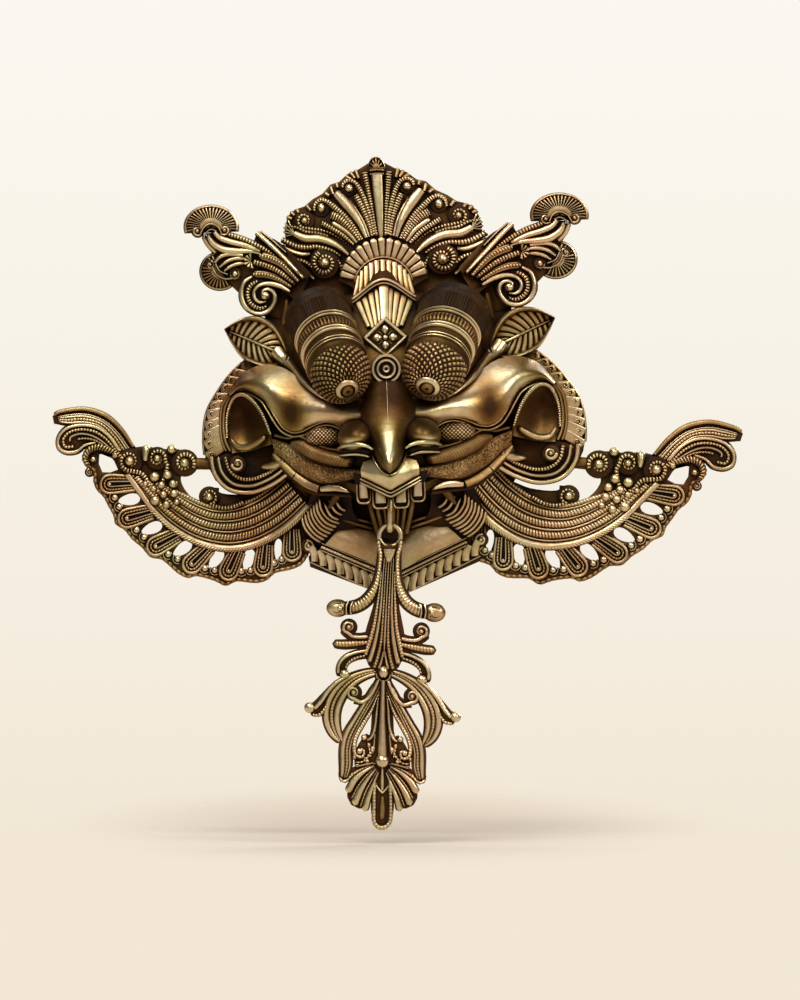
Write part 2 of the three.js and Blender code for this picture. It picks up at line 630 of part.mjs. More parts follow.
// Fluted rim down each side of the backboard
function sideFlutes() {
  const edge = new THREE.SplineCurve(SHIELD_SIDE.map(([x, z]) => new THREE.Vector2(x, z)));
  const flutes = 8;
  return both([relief(Array.from({ length: 2 * flutes + 1 }, (_, i) => {
    const t = i / (2 * flutes);
    const { x, y } = edge.getPointAt(t);
    const rise = 3 * (i % 2);
    return [[x + 0.6 * (i % 2), y, 5 + rise * 0.7], [x - 13, y - lerp(5, -2, t), 6 + rise]];
  }))]);
}

// Wings, a pierced web with plume, eyelets, swept strands and looped feathers
function webHoles() {
  const between = FEATHERS.slice(0, -1).map(({ tip, root }, i) => {
    const next = FEATHERS[i + 1];
    const centre = [(tip[0] + root[0] + next.tip[0] + next.root[0]) / 4,
      (tip[1] + root[1] + next.tip[1] + next.root[1]) / 4];
    const angle = Math.atan2(tip[1] - root[1] + next.tip[1] - next.root[1],
      tip[0] - root[0] + next.tip[0] - next.root[0]);
    const slim = i === 5 ? 2.6 : 3.8;
    return Array.from({ length: 6 }, (_, k) => {
      const turn = (k / 6) * Math.PI * 2;
      const [along, across] = [7.6 * Math.cos(turn), slim * Math.sin(turn)];
      return [centre[0] + along * Math.cos(angle) - across * Math.sin(angle),
        centre[1] + along * Math.sin(angle) + across * Math.cos(angle)];
    });
  });
  return [...between, [[197.5, -137.5], [191, -137], [184, -147], [194.5, -149.5]]];
}

function feather({ tip, root }) {
  const along = new THREE.Vector2(tip[0] - root[0], tip[1] - root[1]).normalize();
  const at = (base, out, across, depth) => [base[0] + along.x * out - along.y * across,
    base[1] + along.y * out + along.x * across, depth];
  const levels = [{ half: FEATHER_HALF, depth: 6.4 }, { half: 1.2, depth: 9.4 }];
  return relief(levels.map(({ half, depth }) => {
    const shoulder = half - FEATHER_HALF;
    return [
      at(root, 1, -half, depth), at(tip, -FEATHER_HALF, -half, depth), at(tip, shoulder - half * 0.3, -half * 0.7, depth),
      at(tip, shoulder, 0, depth), at(tip, shoulder - half * 0.3, half * 0.7, depth),
      at(tip, -FEATHER_HALF, half, depth), at(root, 1, half, depth),
    ];
  }));
}

function wings() {
  const web = plate([
    [134, -134], [140, -131], [157, -131], [165.5, -130], [175, -131.5], [190, -134.5],
    [197, -131], [204, -133], [208.5, -139], [206.5, -146], [201, -149.4], [197.5, -160], [192, -167],
    [182, -182], [173, -191], [162, -199.7], [152, -205], [140, -211], [132, -216],
    [112.2, -217], [104, -219], [89.8, -216.5], [81, -215.5], [72, -211], [64, -206.5], [54.3, -203.5],
    [48, -190], [48, -168], [60, -152], [82, -154], [95, -158], [112, -158.5], [117, -156], [124, -157],
    [127, -166], [133, -162], [139, -155], [140.5, -149], [133, -145], [130, -140],
  ], 0, WEB, { holes: webHoles() });
  const plume = [
    band([[230, -114.8, 4], [221, -109.3, 5], [208, -107.8, 6], [194, -111.5, 7], [184, -120, 7], [175, -132, 6]],
      [[226, -119, 4], [220, -120.5, 5], [210, -118, 6], [200, -119, 7], [190, -126, 7], [184, -134, 6]],
      { ridges: 2, steps: 4, height: 3 }),
    band([[226, -123, 4], [220, -118, 5], [211, -115.5, 5], [199, -116.5, 5], [190, -122.5, 5], [182, -133, 5]],
      [[223, -136.5, 4], [217, -138.5, 4], [211, -137, 5], [206, -131, 6], [198, -127, 6], [188, -135, 6]],
      { ridges: 2, steps: 4, height: 3, head: 3 }),
  ];
  const hookStrand = ridge([[184, -139, 5], [190, -134, 6], [198, -131.5, 6], [205, -136, 5], [206, -143, 5],
    [201, -145, 5]], 5.4, 4.5, 5);
  const swept = band([[150, -157, 5], [134, -162, 6], [122, -166, 7], [111.2, -167, 8], [95.5, -162, 10], [82, -153, 13],
    [72, -144, 20]],
  [[181, -148, 5], [170, -161.5, 6], [159, -175, 6], [144.5, -186.5, 6], [127, -195, 7], [107, -198.5, 8],
    [89.5, -195.5, 9], [74.5, -188, 10], [62, -178, 12], [50, -165, 18]], { ridges: 5, steps: 6, height: 4 });
  const curls = [
    button([176.2, -140.7, 4], 8, 7), button([157.5, -137.7, 4], 7.4, 7), button([139.7, -139.7, 3], 8.6, 8),
    button([201, -141.5, 4], 4, 5, 5), button([120.3, -161.5, 3], 6.4, 7),
    ...[[165.5, -131], [148, -130.6], [155, -149], [149, -155]]
      .map(([x, z]) => button([x, z, 4], 4.4, 6.5, 5)),
  ];
  return both([web, ...plume, hookStrand, swept, ...curls, ...FEATHERS.map(feather)]);
}

// Short bars that tie the wings to the backboard
function links() {
  return both([
    new THREE.BoxGeometry(18, 6, 7).translate(128, -3, -139), new THREE.BoxGeometry(8, 5, 6).translate(118, -3, -158),
  ]);
}

// Drop, in a frame of its own with its loop at the origin and hanging along -Z
function drop() {
  const flat = { floor: DROP_BACK };
  const at = ([x, z]) => [x, z, DROP_FACE];
  const arm = (path, width, options) => ribbon(path.map(at), width, { ...flat, height: 2, ...options });
  const stations = [[-6.5, 4.6], [-24, 6.8], [-45, 10.4], [-70, 13], [-86, 14]];
  const skirt = Array.from({ length: 11 }, (_, i) => {
    const s = lerp(-1, 1, i / 10);
    const droop = 12 * (1 - s * s);
    return stations.map(([z, half], k) => (
      [half * s, z - droop * (k / 4) ** 3 - (k === 4 ? 3 * (i % 2) : 0), DROP_FACE + 2.4 * (i % 2)]
    ));
  });
  const lobes = [{ angle: 114, reach: 22 }, { angle: 136, reach: 30 }, { angle: 158, reach: 38 }, { angle: 180, reach: 49 },
    { angle: 202, reach: 38 }, { angle: 224, reach: 30 }, { angle: 246, reach: 22 }];
  const fan = relief(lobes.flatMap(({ angle, reach }) => [-11, -6, 0, 6].map((turn, i) => {
    const way = THREE.MathUtils.degToRad(angle + turn);
    const far = reach * [0.8, 0.96, 1, 0.96][i];
    return [3, far].map((r) => [r * Math.sin(way), -146 + r * Math.cos(way), DROP_FACE + (i === 2 ? 2.4 : 0)]);
  })), DROP_BACK);
  const gusset = plate([[-1, -94], [13, -112], [25, -138], [20, -150], [-1, -150]], DROP_BACK, DROP_FACE,
    { holes: [[[8.6, -121.2], [9.4, -133.3], [13.2, -135.6], [13.1, -128.4]]] });
  const side = [
    gusset,
    arm([[5.6, -24], [9, -37], [14.5, -45.6], [24, -49.6]], 8, { steps: 4 }),
    arm([[8, -68], [18, -69], [27, -67], [29.5, -61], [24, -57.4]], 6, { steps: 4 }),
    arm([[8, -75], [20, -75], [32, -74.5]], 8, { steps: 1 }),
    arm([[10, -79], [22, -79], [31, -85], [31, -93], [25, -96]], 6, { steps: 4 }),
    arm([[4, -85], [14, -91], [24.5, -98.5], [31.8, -108], [33.8, -119.3], [32, -129], [25, -139]], 12,
      { steps: 5, ridges: 2, ends: [1, 0.8] }),
    arm([[29, -104], [38, -112], [46, -117.6]], 7.6, { steps: 2, ends: [1.2, 1] }),
    arm([[3, -98], [8, -105], [14, -110], [21, -109], [22, -103]], 6, { steps: 4 }),
    arm([[3, -98], [12, -116], [23.5, -136], [26, -150], [26, -164]], 11, { steps: 4, ridges: 2 }),
    arm([[2, -149], [12, -157], [24, -159]], 7, { steps: 1 }),
    knob([28.5, -50.4, DROP.depth], [8.6, 5, 6.6], 8, 4),
    knob([46, -117.6, DROP.depth], [5, 4, 5], 6, 4),
    button([24, -62, DROP.depth], 3.6, 5, 5), button([25, -94, DROP.depth], 3.6, 5, 5),
    button([19.5, -104, DROP.depth], 4.2, 5, 5),
  ];
  const bosses = [
    strand([[0, -92, DROP_FACE], [0, -142, DROP_FACE]], 4.4, 3.4, { steps: 1 }),
    knob([0, -91, DROP_FACE], [5, 3.8, 5]), knob([0, -146, DROP_FACE], [4.8, 4, 6]),
  ];
  const ring = new THREE.TorusGeometry(DROP.ring, DROP.wire / 2, 6, 14);
  ring.rotateX(Math.PI / 2);
  ring.translate(0, -DROP.depth, 0);
  return [relief(skirt, DROP_BACK), fan, ...both(side), ...bosses, ring];
}

// Assembly
const headParts = [
  ...backboard(), dome(0), ...crown(), ...tiara(), ...brooch(), ...eyes(), ...horns(), ...ears(), ...cheeks(),
  ...cheekCurls(), ...muzzle(), ...nose(), ...mouth(), ...chin(), ...sideFlutes(),
].map((part) => settle(part, headPlace));
const wingParts = [...wings(), ...links()].map((part) => settle(part, wingPlace));
const hollow = toSolid(settle(dome(WALL), headPlace));
const front = toSolid(new THREE.BoxGeometry(700, 200, 700).translate(0, -100, 0));
const casting = joined([...headParts, ...wingParts, hook()]).subtract(hollow).intersect(front);
const hung = joined(drop().map((part) => settle(part, dropPlace)));

const object = new THREE.Group();
for (const [name, solid] of [['mask', casting], ['pendant', hung]]) {
  const mesh = new THREE.Mesh(thinned(toGeometry(solid), SLACK), BRASS);
  mesh.name = name;
  object.add(mesh);
}

export default object;
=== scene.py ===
# Carved surface of the winged yali mask and its drop, in antique brass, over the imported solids.
# Layouts are in millimetres as (across, up, depth), with depth the distance out from the wall.
# They are drawn for the half on the positive side, the right of the picture, then mirrored,
# and all of it is then set askew as the casting is.
import itertools
import math

import bpy
import numpy as np
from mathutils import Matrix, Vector
from mathutils.geometry import tessellate_polygon


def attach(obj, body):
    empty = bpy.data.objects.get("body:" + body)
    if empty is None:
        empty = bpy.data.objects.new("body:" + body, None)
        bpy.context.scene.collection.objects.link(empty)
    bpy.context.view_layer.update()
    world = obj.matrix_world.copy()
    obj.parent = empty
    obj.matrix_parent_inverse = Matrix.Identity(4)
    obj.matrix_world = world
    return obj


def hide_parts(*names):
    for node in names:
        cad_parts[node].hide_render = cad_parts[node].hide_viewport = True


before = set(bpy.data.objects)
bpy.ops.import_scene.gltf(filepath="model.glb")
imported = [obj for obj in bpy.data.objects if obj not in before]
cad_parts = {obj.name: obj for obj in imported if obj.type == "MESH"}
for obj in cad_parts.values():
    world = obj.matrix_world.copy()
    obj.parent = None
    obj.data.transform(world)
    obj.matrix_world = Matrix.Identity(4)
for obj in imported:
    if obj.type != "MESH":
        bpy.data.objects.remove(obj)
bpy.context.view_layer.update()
SLOT = "antique_brass"
MM = 0.001

# How far the casting is out of true
TILT = math.radians(2)
TILT_CENTRE = -97
AXIS_SHIFT = 1
CROWN_LEAN = 0.033
SIDE_SPREAD = 0.03
SPREAD_FROM = 70
WING_OUT = (9.5, 0.025, 0.065)
WING_UP = (10.3, -0.0625, 0.015)
DROP_AT = (2.7, -187.6)
DROP_LEAN = 0.0275
DROP_SWAY = {"from": -10, "over": 170, "most": 1.8, "slope": 0.07}

# Driving sizes
BOARD = 5
WEB = 5.5
WALL = 5
BURIED = 1
DOME = {"across": 75, "out": 58, "up": 92, "down": 58, "centre": -112}
EYE = {"at": (31, -78.4, 75), "axis": (-0.23, -0.62, 0.75), "ball": 19.8, "length": 56}
TIARA = {"z": -21.5, "outer": 32, "inner": 19.7, "reach": 76, "bars": 15, "depth": 14}
RING = {"radius": 7.2, "wire": 3, "depth": 60, "plate": 4.5}
HOOK_WIRE = 3.4
FIT_GAP = 0.4
PITCH = 2.1
# Crest at the foot of a rib, where it meets the next
GROOVE = 0.3


# Placing
def head_place(p):
    x, z, depth = p.T
    spread = 1 + np.sign(x) * SIDE_SPREAD * np.minimum(1, np.abs(x) / SPREAD_FROM)
    across = x * spread + AXIS_SHIFT - CROWN_LEAN * np.maximum(z, 0)
    up = z - TILT_CENTRE
    c, s = math.cos(TILT), math.sin(TILT)
    return np.stack([across * c - up * s, -depth, TILT_CENTRE + across * s + up * c], axis=1)


def wing_place(p):
    x, z, depth = p.T
    side, out = np.sign(x), np.abs(x)
    outward = WING_OUT[0] + WING_OUT[1] * out + WING_OUT[2] * z
    upward = WING_UP[0] + WING_UP[1] * out + WING_UP[2] * z
    return np.stack([side * out + outward, -depth, z + side * upward], axis=1)


def drop_place(p):
    x, z, depth = p.T
    run = np.clip((DROP_SWAY["from"] - z) / DROP_SWAY["over"], 0, 1)
    sway = np.sin(math.pi * run)
    across = DROP_AT[0] + x + DROP_LEAN * z - DROP_SWAY["most"] * sway
    return np.stack([across, -depth, DROP_AT[1] + z - DROP_SWAY["slope"] * sway * x], axis=1)


# A shape is its places, its four-sided and three-sided faces, and for each place how far it
# stands clear of the grooves (crest) and how much it has been rubbed bright (polish)
class Shape:
    def __init__(self, places, quads, tris, crest, polish):
        self.places = np.asarray(places, float)
        self.quads = np.asarray(quads, int).reshape(-1, 4)
        self.tris = np.asarray(tris, int).reshape(-1, 3)
        self.crest = np.broadcast_to(np.asarray(crest, float), len(self.places))
        self.polish = np.broadcast_to(np.asarray(polish, float), len(self.places))

    def mirrored(self):
        return Shape(self.places * (-1, 1, 1), self.quads[:, ::-1], self.tris[:, ::-1], self.crest, self.polish)


def gather(items):
    flat = []
    for item in items:
        flat.extend(gather(item) if isinstance(item, (list, tuple)) else [item])
    return flat


def both(*items):
    return [s for shape in gather(items) for s in (shape, shape.mirrored())]


def grid_faces(rows, columns, wrap):
    i, j = np.meshgrid(np.arange(rows - 1), np.arange(columns if wrap else columns - 1), indexing="ij")
    k = (j + 1) % columns
    return np.stack([i * columns + j, (i + 1) * columns + j, (i + 1) * columns + k, i * columns + k], -1).reshape(-1, 4)


def closed_tube(rings, crest, polish):
    rows, columns, _ = rings.shape
    quads = grid_faces(rows, columns, True)
    first, last = rows * columns, rows * columns + 1
    j = np.arange(columns)
    k = (j + 1) % columns
    end = (rows - 1) * columns
    caps = [np.stack([np.full(columns, first), j, k], 1), np.stack([np.full(columns, last), end + k, end + j], 1)]
    places = np.vstack([rings.reshape(-1, 3), rings[0].mean(0), rings[-1].mean(0)])
    crest = np.broadcast_to(crest, (rows, columns)).reshape(-1)
    crest = np.concatenate([crest, [crest[0], crest[-1]]])
    return Shape(places, quads, np.vstack(caps), crest, polish)


# Lines
def whole(*half):
    """A line over both halves, given from the middle outward."""
    return [*[(-p[0], *p[1:]) for p in reversed(half) if p[0] > 0], *half]


def oval(centre, radii, count=20):
    """Places round an oval."""
    return [(centre[0] + radii[0] * math.cos(a), centre[1] + radii[1] * math.sin(a))
            for a in np.linspace(0, 2 * math.pi, count, endpoint=False)]


def arch(centre, radii, angles, count, *depth):
    """Places along an arc, angles in radians from upright."""
    return [(centre[0] + radii[0] * math.sin(a), centre[1] + radii[1] * math.cos(a), *depth)
            for a in np.linspace(*angles, count)]


def deep(points, depth=0.0):
    return np.array([tuple(p) if len(p) == 3 else (*p, depth) for p in points], float)


def resampled(dense, count):
    length = np.concatenate([[0], np.cumsum(np.linalg.norm(np.diff(dense, axis=0), axis=1))])
    at = np.linspace(0, length[-1], count)
    return np.stack([np.interp(at, length, dense[:, k]) for k in range(dense.shape[1])], axis=1)


def smooth(points, fine=14):
    """Centripetal curve through the points, densely sampled."""
    p = np.asarray(points, float)
    if len(p) < 3:
        return p
    p = np.vstack([2 * p[0] - p[1], p, 2 * p[-1] - p[-2]])
    t = np.concatenate([[0], np.cumsum(np.sqrt(np.linalg.norm(np.diff(p, axis=0), axis=1)))])
    out = []
    for i in range(1, len(p) - 2):
        u = np.linspace(t[i], t[i + 1], fine, endpoint=False)[:, None]
        t0, t1, t2, t3 = t[i - 1:i + 3]
        a = [(t[j + 1] - u) / (t[j + 1] - t[j]) * p[j] + (u - t[j]) / (t[j + 1] - t[j]) * p[j + 1]
             for j in (i - 1, i, i + 1)]
        b1 = (t2 - u) / (t2 - t0) * a[0] + (u - t0) / (t2 - t0) * a[1]
        b2 = (t3 - u) / (t3 - t1) * a[1] + (u - t1) / (t3 - t1) * a[2]
        out.append((t2 - u) / (t2 - t1) * b1 + (u - t1) / (t2 - t1) * b2)
    return np.vstack([*out, p[-2]])


def measure(path):
    return float(np.linalg.norm(np.diff(path, axis=0), axis=1).sum())


def even(points, count):
    """Evenly spaced places along the smooth curve through the points."""
    return resampled(smooth(deep(points)), count)


def spiral(centre, start, radius, inner, turns):
    """Places along a spiral that starts at an angle in degrees from +x and shrinks inward."""
    t = np.linspace(0, 1, max(10, int(abs(turns) * 16)))
    r = radius + (inner - radius) * t
    angle = math.radians(start) + turns * 2 * math.pi * t
    return np.stack([centre[0] + r * np.cos(angle), centre[1] + r * np.sin(angle), np.full_like(t, centre[2])], 1)


# Swept strands
def frames(path):
    tangent = np.gradient(path, axis=0)
    tangent /= np.linalg.norm(tangent, axis=1)[:, None] + 1e-9
    across = np.stack([tangent[:, 1], -tangent[:, 0], np.zeros(len(path))], axis=1)
    across /= np.linalg.norm(across, axis=1)[:, None] + 1e-9
    return tangent, across, np.cross(across, tangent)


def end_shape(count, length, head, tail):
    """Width factor along a strand, domed over head at its start and over tail at its end."""
    s = np.linspace(0, length, count)
    factor = np.ones(count)
    for run, reach in ((s, head), (length - s, tail)):
        if reach > 0:
            near = np.clip(run / reach, 0, 1)
            factor *= np.sqrt(np.clip(1 - (1 - near) ** 2, 0.002, 1))
    return factor


def strand(points, width, height, *, mill=0, cut=0.28, dim=0.5, slant=0.0, head=0.0, tail=0.0, flat=1.0, bury=0.7,
           sides=6, step=1.6, polish=0.45, shade=1.0):
    """A rib along a line. Width and height are a number or one value for each given point."""
    given = deep(points)
    dense = smooth(given)
    length = measure(dense)
    gap = mill / 4 if mill else step
    count = max(3, int(length / gap) + 1)
    if head or tail:
        count = max(count, 9)
    path = resampled(dense, count)
    t = np.linspace(0, 1, count)
    width, height = [np.interp(t, np.linspace(0, 1, np.size(v)), np.atleast_1d(v)) for v in (width, height)]
    shape = end_shape(count, length, head, tail)
    bead = np.ones(count)
    if mill:
        bead = 1 - np.abs(np.cos(math.pi * np.arange(count) / 4)) ** 4
    swell = 1 - cut * (1 - bead)
    tangent, across, lift = frames(path)
    theta = np.linspace(0, math.pi, sides)
    cos, sin = np.cos(theta), np.sin(theta)
    x = np.concatenate([np.sign(cos) * np.abs(cos) ** flat, [-0.8, 0.8]])
    y = np.concatenate([np.abs(sin) ** flat, [-bury, -bury]])
    half = (width * shape / 2)[:, None] * x[None, :]
    narrow = 1 - 0.35 * (1 - swell)
    rise = np.where(y[None, :] > 0, (height * shape * swell)[:, None] * y[None, :], height[:, None] * y[None, :])
    rings = (path[:, None, :] + (half * narrow[:, None])[..., None] * across[:, None, :]
             + rise[..., None] * lift[:, None, :] + (half * slant)[..., None] * tangent[:, None, :])
    top = np.clip(y, 0, 1)
    crest = (GROOVE + (1 - GROOVE) * top[None, :] ** 0.6) * (1 - dim + dim * bead[:, None] if mill else 1) * shade
    return closed_tube(rings, crest, polish)


def reeds(rail_a, rail_b, spec, *, height=0.5, fill=0.96, count=24, **options):
    """Ribs side by side between two rails. In the spec each letter is a rib: m milled, p plain,
    t thin and plain, w wide and plain, b wide and milled."""
    share = np.array([{"m": 1.0, "p": 0.8, "t": 0.5, "w": 1.5, "b": 1.5}[c] for c in spec])
    edge = np.concatenate([[0], np.cumsum(share)]) / share.sum()
    a, b = even(rail_a, count), even(rail_b, count)
    ribs = []
    for c, lo, hi in zip(spec, edge[:-1], edge[1:]):
        path = a + (b - a) * (lo + hi) / 2
        wide = np.linalg.norm((b - a)[:, :2], axis=1) * (hi - lo) * fill
        ribs.append(strand(path, wide, wide * height, mill=PITCH if c in "mb" else 0, **options))
    return ribs


def sector(centre, radii, angles, count, *, height, **options):
    """Ribs that radiate from a centre, angles in degrees from upright, turning to the right."""
    share = np.linspace(0, 1, count + 1)
    ribs = []
    for lo, hi in zip(share[:-1], share[1:]):
        angle = math.radians(angles[0] + (angles[1] - angles[0]) * (lo + hi) / 2)
        r = np.linspace(*radii, 5)
        path = np.stack([centre[0] + r * math.sin(angle), centre[1] + r * math.cos(angle),
                         np.full(5, float(centre[2]))], 1)
        wide = np.abs(r) * math.radians(abs(angles[1] - angles[0])) * (hi - lo) * 0.94
        ribs.append(strand(path, wide, np.minimum(wide * height, 2.6), **options))
    return ribs


def comb(lines, count, *, height, fill, **options):
    """Ribs side by side that cross the lines in turn, as wide as their room allows."""
    edge = np.arange(count + 1) / count
    fine = 200
    lines = [even(line, fine) for line in lines]
    ribs = []
    for lo, hi in zip(edge[:-1], edge[1:]):
        low, mid, high = [int(round(v * (fine - 1))) for v in (lo, (lo + hi) / 2, hi)]
        path = np.stack([line[mid] for line in lines])
        wide = []
        for i, line in enumerate(lines):
            ahead = path[min(i + 1, len(path) - 1)] - path[max(i - 1, 0)]
            ahead = ahead[:2] / np.linalg.norm(ahead[:2])
            span = (line[high] - line[low])[:2]
            wide.append(fill * np.linalg.norm(span - ahead * np.dot(span, ahead)))
        ribs.append(strand(path, wide, np.minimum(np.array(wide) * height, 3), **options))
    return ribs


def bed(rail_a, rail_b, margin, thick):
    """A dark ground under the ribs between two rails."""
    low = 0.6
    a, b = even(rail_a, 16), even(rail_b, 16)
    path = (a + b) / 2 - (0, 0, 0.2)
    wide = np.linalg.norm((b - a)[:, :2], axis=1) + 2 * margin
    return strand(path, wide, low, bury=thick / low, flat=0.35, shade=0.3, head=margin * 2, tail=margin * 2)


def cap(centre, radii, angles, slots, *, base, rise, inner=0.42, rim=0.9):
    """A domed fan with short radial slots and a thick rim, angles in degrees from upright."""
    columns = slots * 8 + 1
    r = np.concatenate([np.linspace(0.05, inner, 5), np.linspace(inner + 0.03, rim - 0.02, 8), np.linspace(rim, 1, 6)])
    turn = np.radians(np.linspace(*angles, columns))
    slot = 0.5 - 0.5 * np.cos(np.linspace(0, slots * 2 * math.pi, columns))
    inside = ((r > inner) & (r < rim)).astype(float)[:, None]
    cut = inside * np.clip((0.62 - slot[None, :]) * 3, 0, 1)
    swell = np.sqrt(np.clip(1.05 - (r * 0.92) ** 2, 0, 1))[:, None]
    lip = np.where(r > rim, np.sin(np.clip((r - rim) / (1 - rim), 0, 1) * math.pi), 0)[:, None]
    depth = base + rise * swell - 1.3 * cut + 1.2 * lip
    x = centre[0] + radii[0] * r[:, None] * np.sin(turn)[None, :]
    z = centre[1] + radii[1] * r[:, None] * np.cos(turn)[None, :]
    return relief(np.stack([x, z, depth * np.ones_like(x)], -1),
                  crest=np.clip(0.92 - 0.75 * cut - 0.1 * (1 - lip), 0.1, 1), polish=0.6)


# Solids
def hollow_depth(x, z):
    """Depth of the hollow behind the face, nothing outside its mouth."""
    tall = np.where(z > DOME["centre"], DOME["up"], DOME["down"]) - WALL
    spread = 1 - (x / (DOME["across"] - WALL)) ** 2 - ((z - DOME["centre"]) / tall) ** 2
    return (DOME["out"] - WALL) * np.sqrt(np.clip(spread, 0, 1))


def hollow_edge(start, stop, count=16):
    """Places round the hollow's mouth, angles in degrees from +x."""
    angle = np.radians(np.linspace(start, stop, count))
    tall = np.where(np.sin(angle) > 0, DOME["up"], DOME["down"]) - WALL
    return np.stack([(DOME["across"] - WALL) * np.cos(angle), DOME["centre"] + tall * np.sin(angle)], 1)


def clear_of_hollow(places, cover):
    """Nothing of the head comes nearer to the hollow than its cover, or behind the wall plane."""
    x, z, depth = places.T
    ceiling = hollow_depth(x, z)
    return np.stack([x, z, np.where(ceiling > 0, np.maximum(depth, ceiling + cover), np.maximum(depth, 0))], 1)


def relief(top, floor=BURIED, crest=1.0, polish=0.5):
    """A closed patch under a grid of places, with an underside at the floor depth or the hollow."""
    top = np.asarray(top, float)
    rows, columns, _ = top.shape
    quads = grid_faces(rows, columns, False)
    count = rows * columns
    border = np.concatenate([np.arange(columns), np.arange(1, rows) * columns + columns - 1,
                             np.arange(columns - 2, -1, -1) + (rows - 1) * columns,
                             np.arange(rows - 2, 0, -1) * columns])
    after = np.roll(border, -1)
    skirt = np.stack([border, after, after + count, border + count], 1)
    under = top.reshape(-1, 3).copy()
    under[:, 2] = np.minimum(floor, under[:, 2] - 0.2)
    a, b = top[-1].mean(0) - top[0].mean(0), top[:, -1].mean(0) - top[:, 0].mean(0)
    faces = np.vstack([quads, (quads + count)[:, ::-1], skirt[:, ::-1]])
    if np.cross(a, b)[2] < 0:
        faces = faces[:, ::-1]
    crest = np.concatenate([np.broadcast_to(crest, (rows, columns)).reshape(-1), np.full(count, 0.4)])
    polish = np.concatenate([np.broadcast_to(polish, (rows, columns)).reshape(-1), np.full(count, 0.2)])
    return Shape(np.vstack([top.reshape(-1, 3), under]), faces, [], crest, polish)


def skin(lines, rows, columns):
    """A smooth grid through rows of places."""
    stack = np.stack([even(line, columns) for line in lines])
    return np.stack([resampled(smooth(stack[:, k]), rows) for k in range(columns)], axis=1)


def inset(loop, amount):
    """Moves each place of a loop square to the loop, into the material."""
    ahead, behind = np.roll(loop, -1, axis=0), np.roll(loop, 1, axis=0)
    way = ahead - behind
    way /= np.linalg.norm(way, axis=1)[:, None] + 1e-9
    area = np.sum(loop[:, 0] * ahead[:, 1] - ahead[:, 0] * loop[:, 1])
    normal = np.stack([-way[:, 1], way[:, 0]], 1) * np.sign(area)
    return loop + normal * amount


def plate(outline, low, high, *, holes=(), round_edge=1.0, crest=0.75, polish=0.45):
    """A flat plate with rounded front edges, between two depths."""
    loops = [np.asarray(loop, float)[:, :2] for loop in (outline, *holes)]
    steps = [(0, low), (0, high - round_edge), (0.3 * round_edge, high - 0.3 * round_edge), (round_edge, high)]
    places, quads, tris, start, tops, bottoms = [], [], [], 0, [], []
    for number, loop in enumerate(loops):
        area = np.sum(loop[:, 0] * np.roll(loop[:, 1], -1) - np.roll(loop[:, 0], -1) * loop[:, 1])
        loop = loop if (area > 0) == (number == 0) else loop[::-1]
        n = len(loop)
        for amount, depth in steps:
            moved = inset(loop, amount if number == 0 else -amount)
            places.append(np.column_stack([moved, np.full(n, float(depth))]))
        quads.append(grid_faces(len(steps), n, True)[:, ::-1] + start)
        bottoms.append(np.arange(n) + start)
        tops.append(np.arange(n) + start + (len(steps) - 1) * n)
        start += n * len(steps)
    places = np.vstack(places)
    for rings, flip in ((tops, False), (bottoms, True)):
        order = np.concatenate(rings)
        faces = tessellate_polygon([[Vector((*places[i, :2], 0)) for i in ring] for ring in rings])
        faces = order[np.array(faces, int)]
        a, b, c = [places[faces[:, k]] for k in range(3)]
        up = np.cross(b - a, c - a)[:, 2] > 0
        faces = np.where((up != flip)[:, None], faces, faces[:, ::-1])
        tris.append(faces)
    shade = np.where(places[:, 2] >= high - round_edge, crest, 0.35)
    return Shape(places, np.vstack(quads), np.vstack(tris), shade, polish)


def ball(centre, radii, *, rows=8, columns=14, crest=1.0, polish=0.6):
    theta = np.linspace(0.12, math.pi - 0.12, rows)
    phi = np.linspace(0, 2 * math.pi, columns, endpoint=False)
    x = np.sin(theta)[:, None] * np.cos(phi) * radii[0] + centre[0]
    z = np.sin(theta)[:, None] * np.sin(phi) * radii[1] + centre[1]
    d = np.cos(theta)[:, None] * np.ones(columns) * radii[2] + centre[2]
    shade = np.clip(0.45 + 0.75 * np.cos(theta), 0.3, 1)[:, None] * crest
    shape = closed_tube(np.stack([x, z, d], -1), shade, polish)
    shape.places[-2, 2] = centre[2] + radii[2]
    shape.places[-1, 2] = centre[2] - radii[2]
    return shape


def lathe(profile, centre, axis, around, *, crest, polish, relief_of=None):
    """Turns (radius, along) places about an axis, with a surface pattern worked out from both."""
    profile = np.asarray(profile, float)
    axis = np.asarray(axis, float) / np.linalg.norm(axis)
    side = np.cross(axis, (0, 1, 0) if abs(axis[1]) < 0.9 else (1, 0, 0))
    side /= np.linalg.norm(side)
    other = np.cross(axis, side)
    phi = np.linspace(0, 2 * math.pi, around, endpoint=False)
    radius = np.repeat(profile[:, :1], around, 1)
    along = np.repeat(profile[:, 1:2], around, 1)
    shade = np.repeat(np.asarray(crest)[:, None], around, 1)
    if relief_of is not None:
        radius, along, shade = relief_of(radius, along, shade, phi)
    rings = (np.asarray(centre, float)
             + radius[..., None] * (np.cos(phi)[:, None] * side + np.sin(phi)[:, None] * other)
             + along[..., None] * axis)
    return closed_tube(rings, shade, polish)


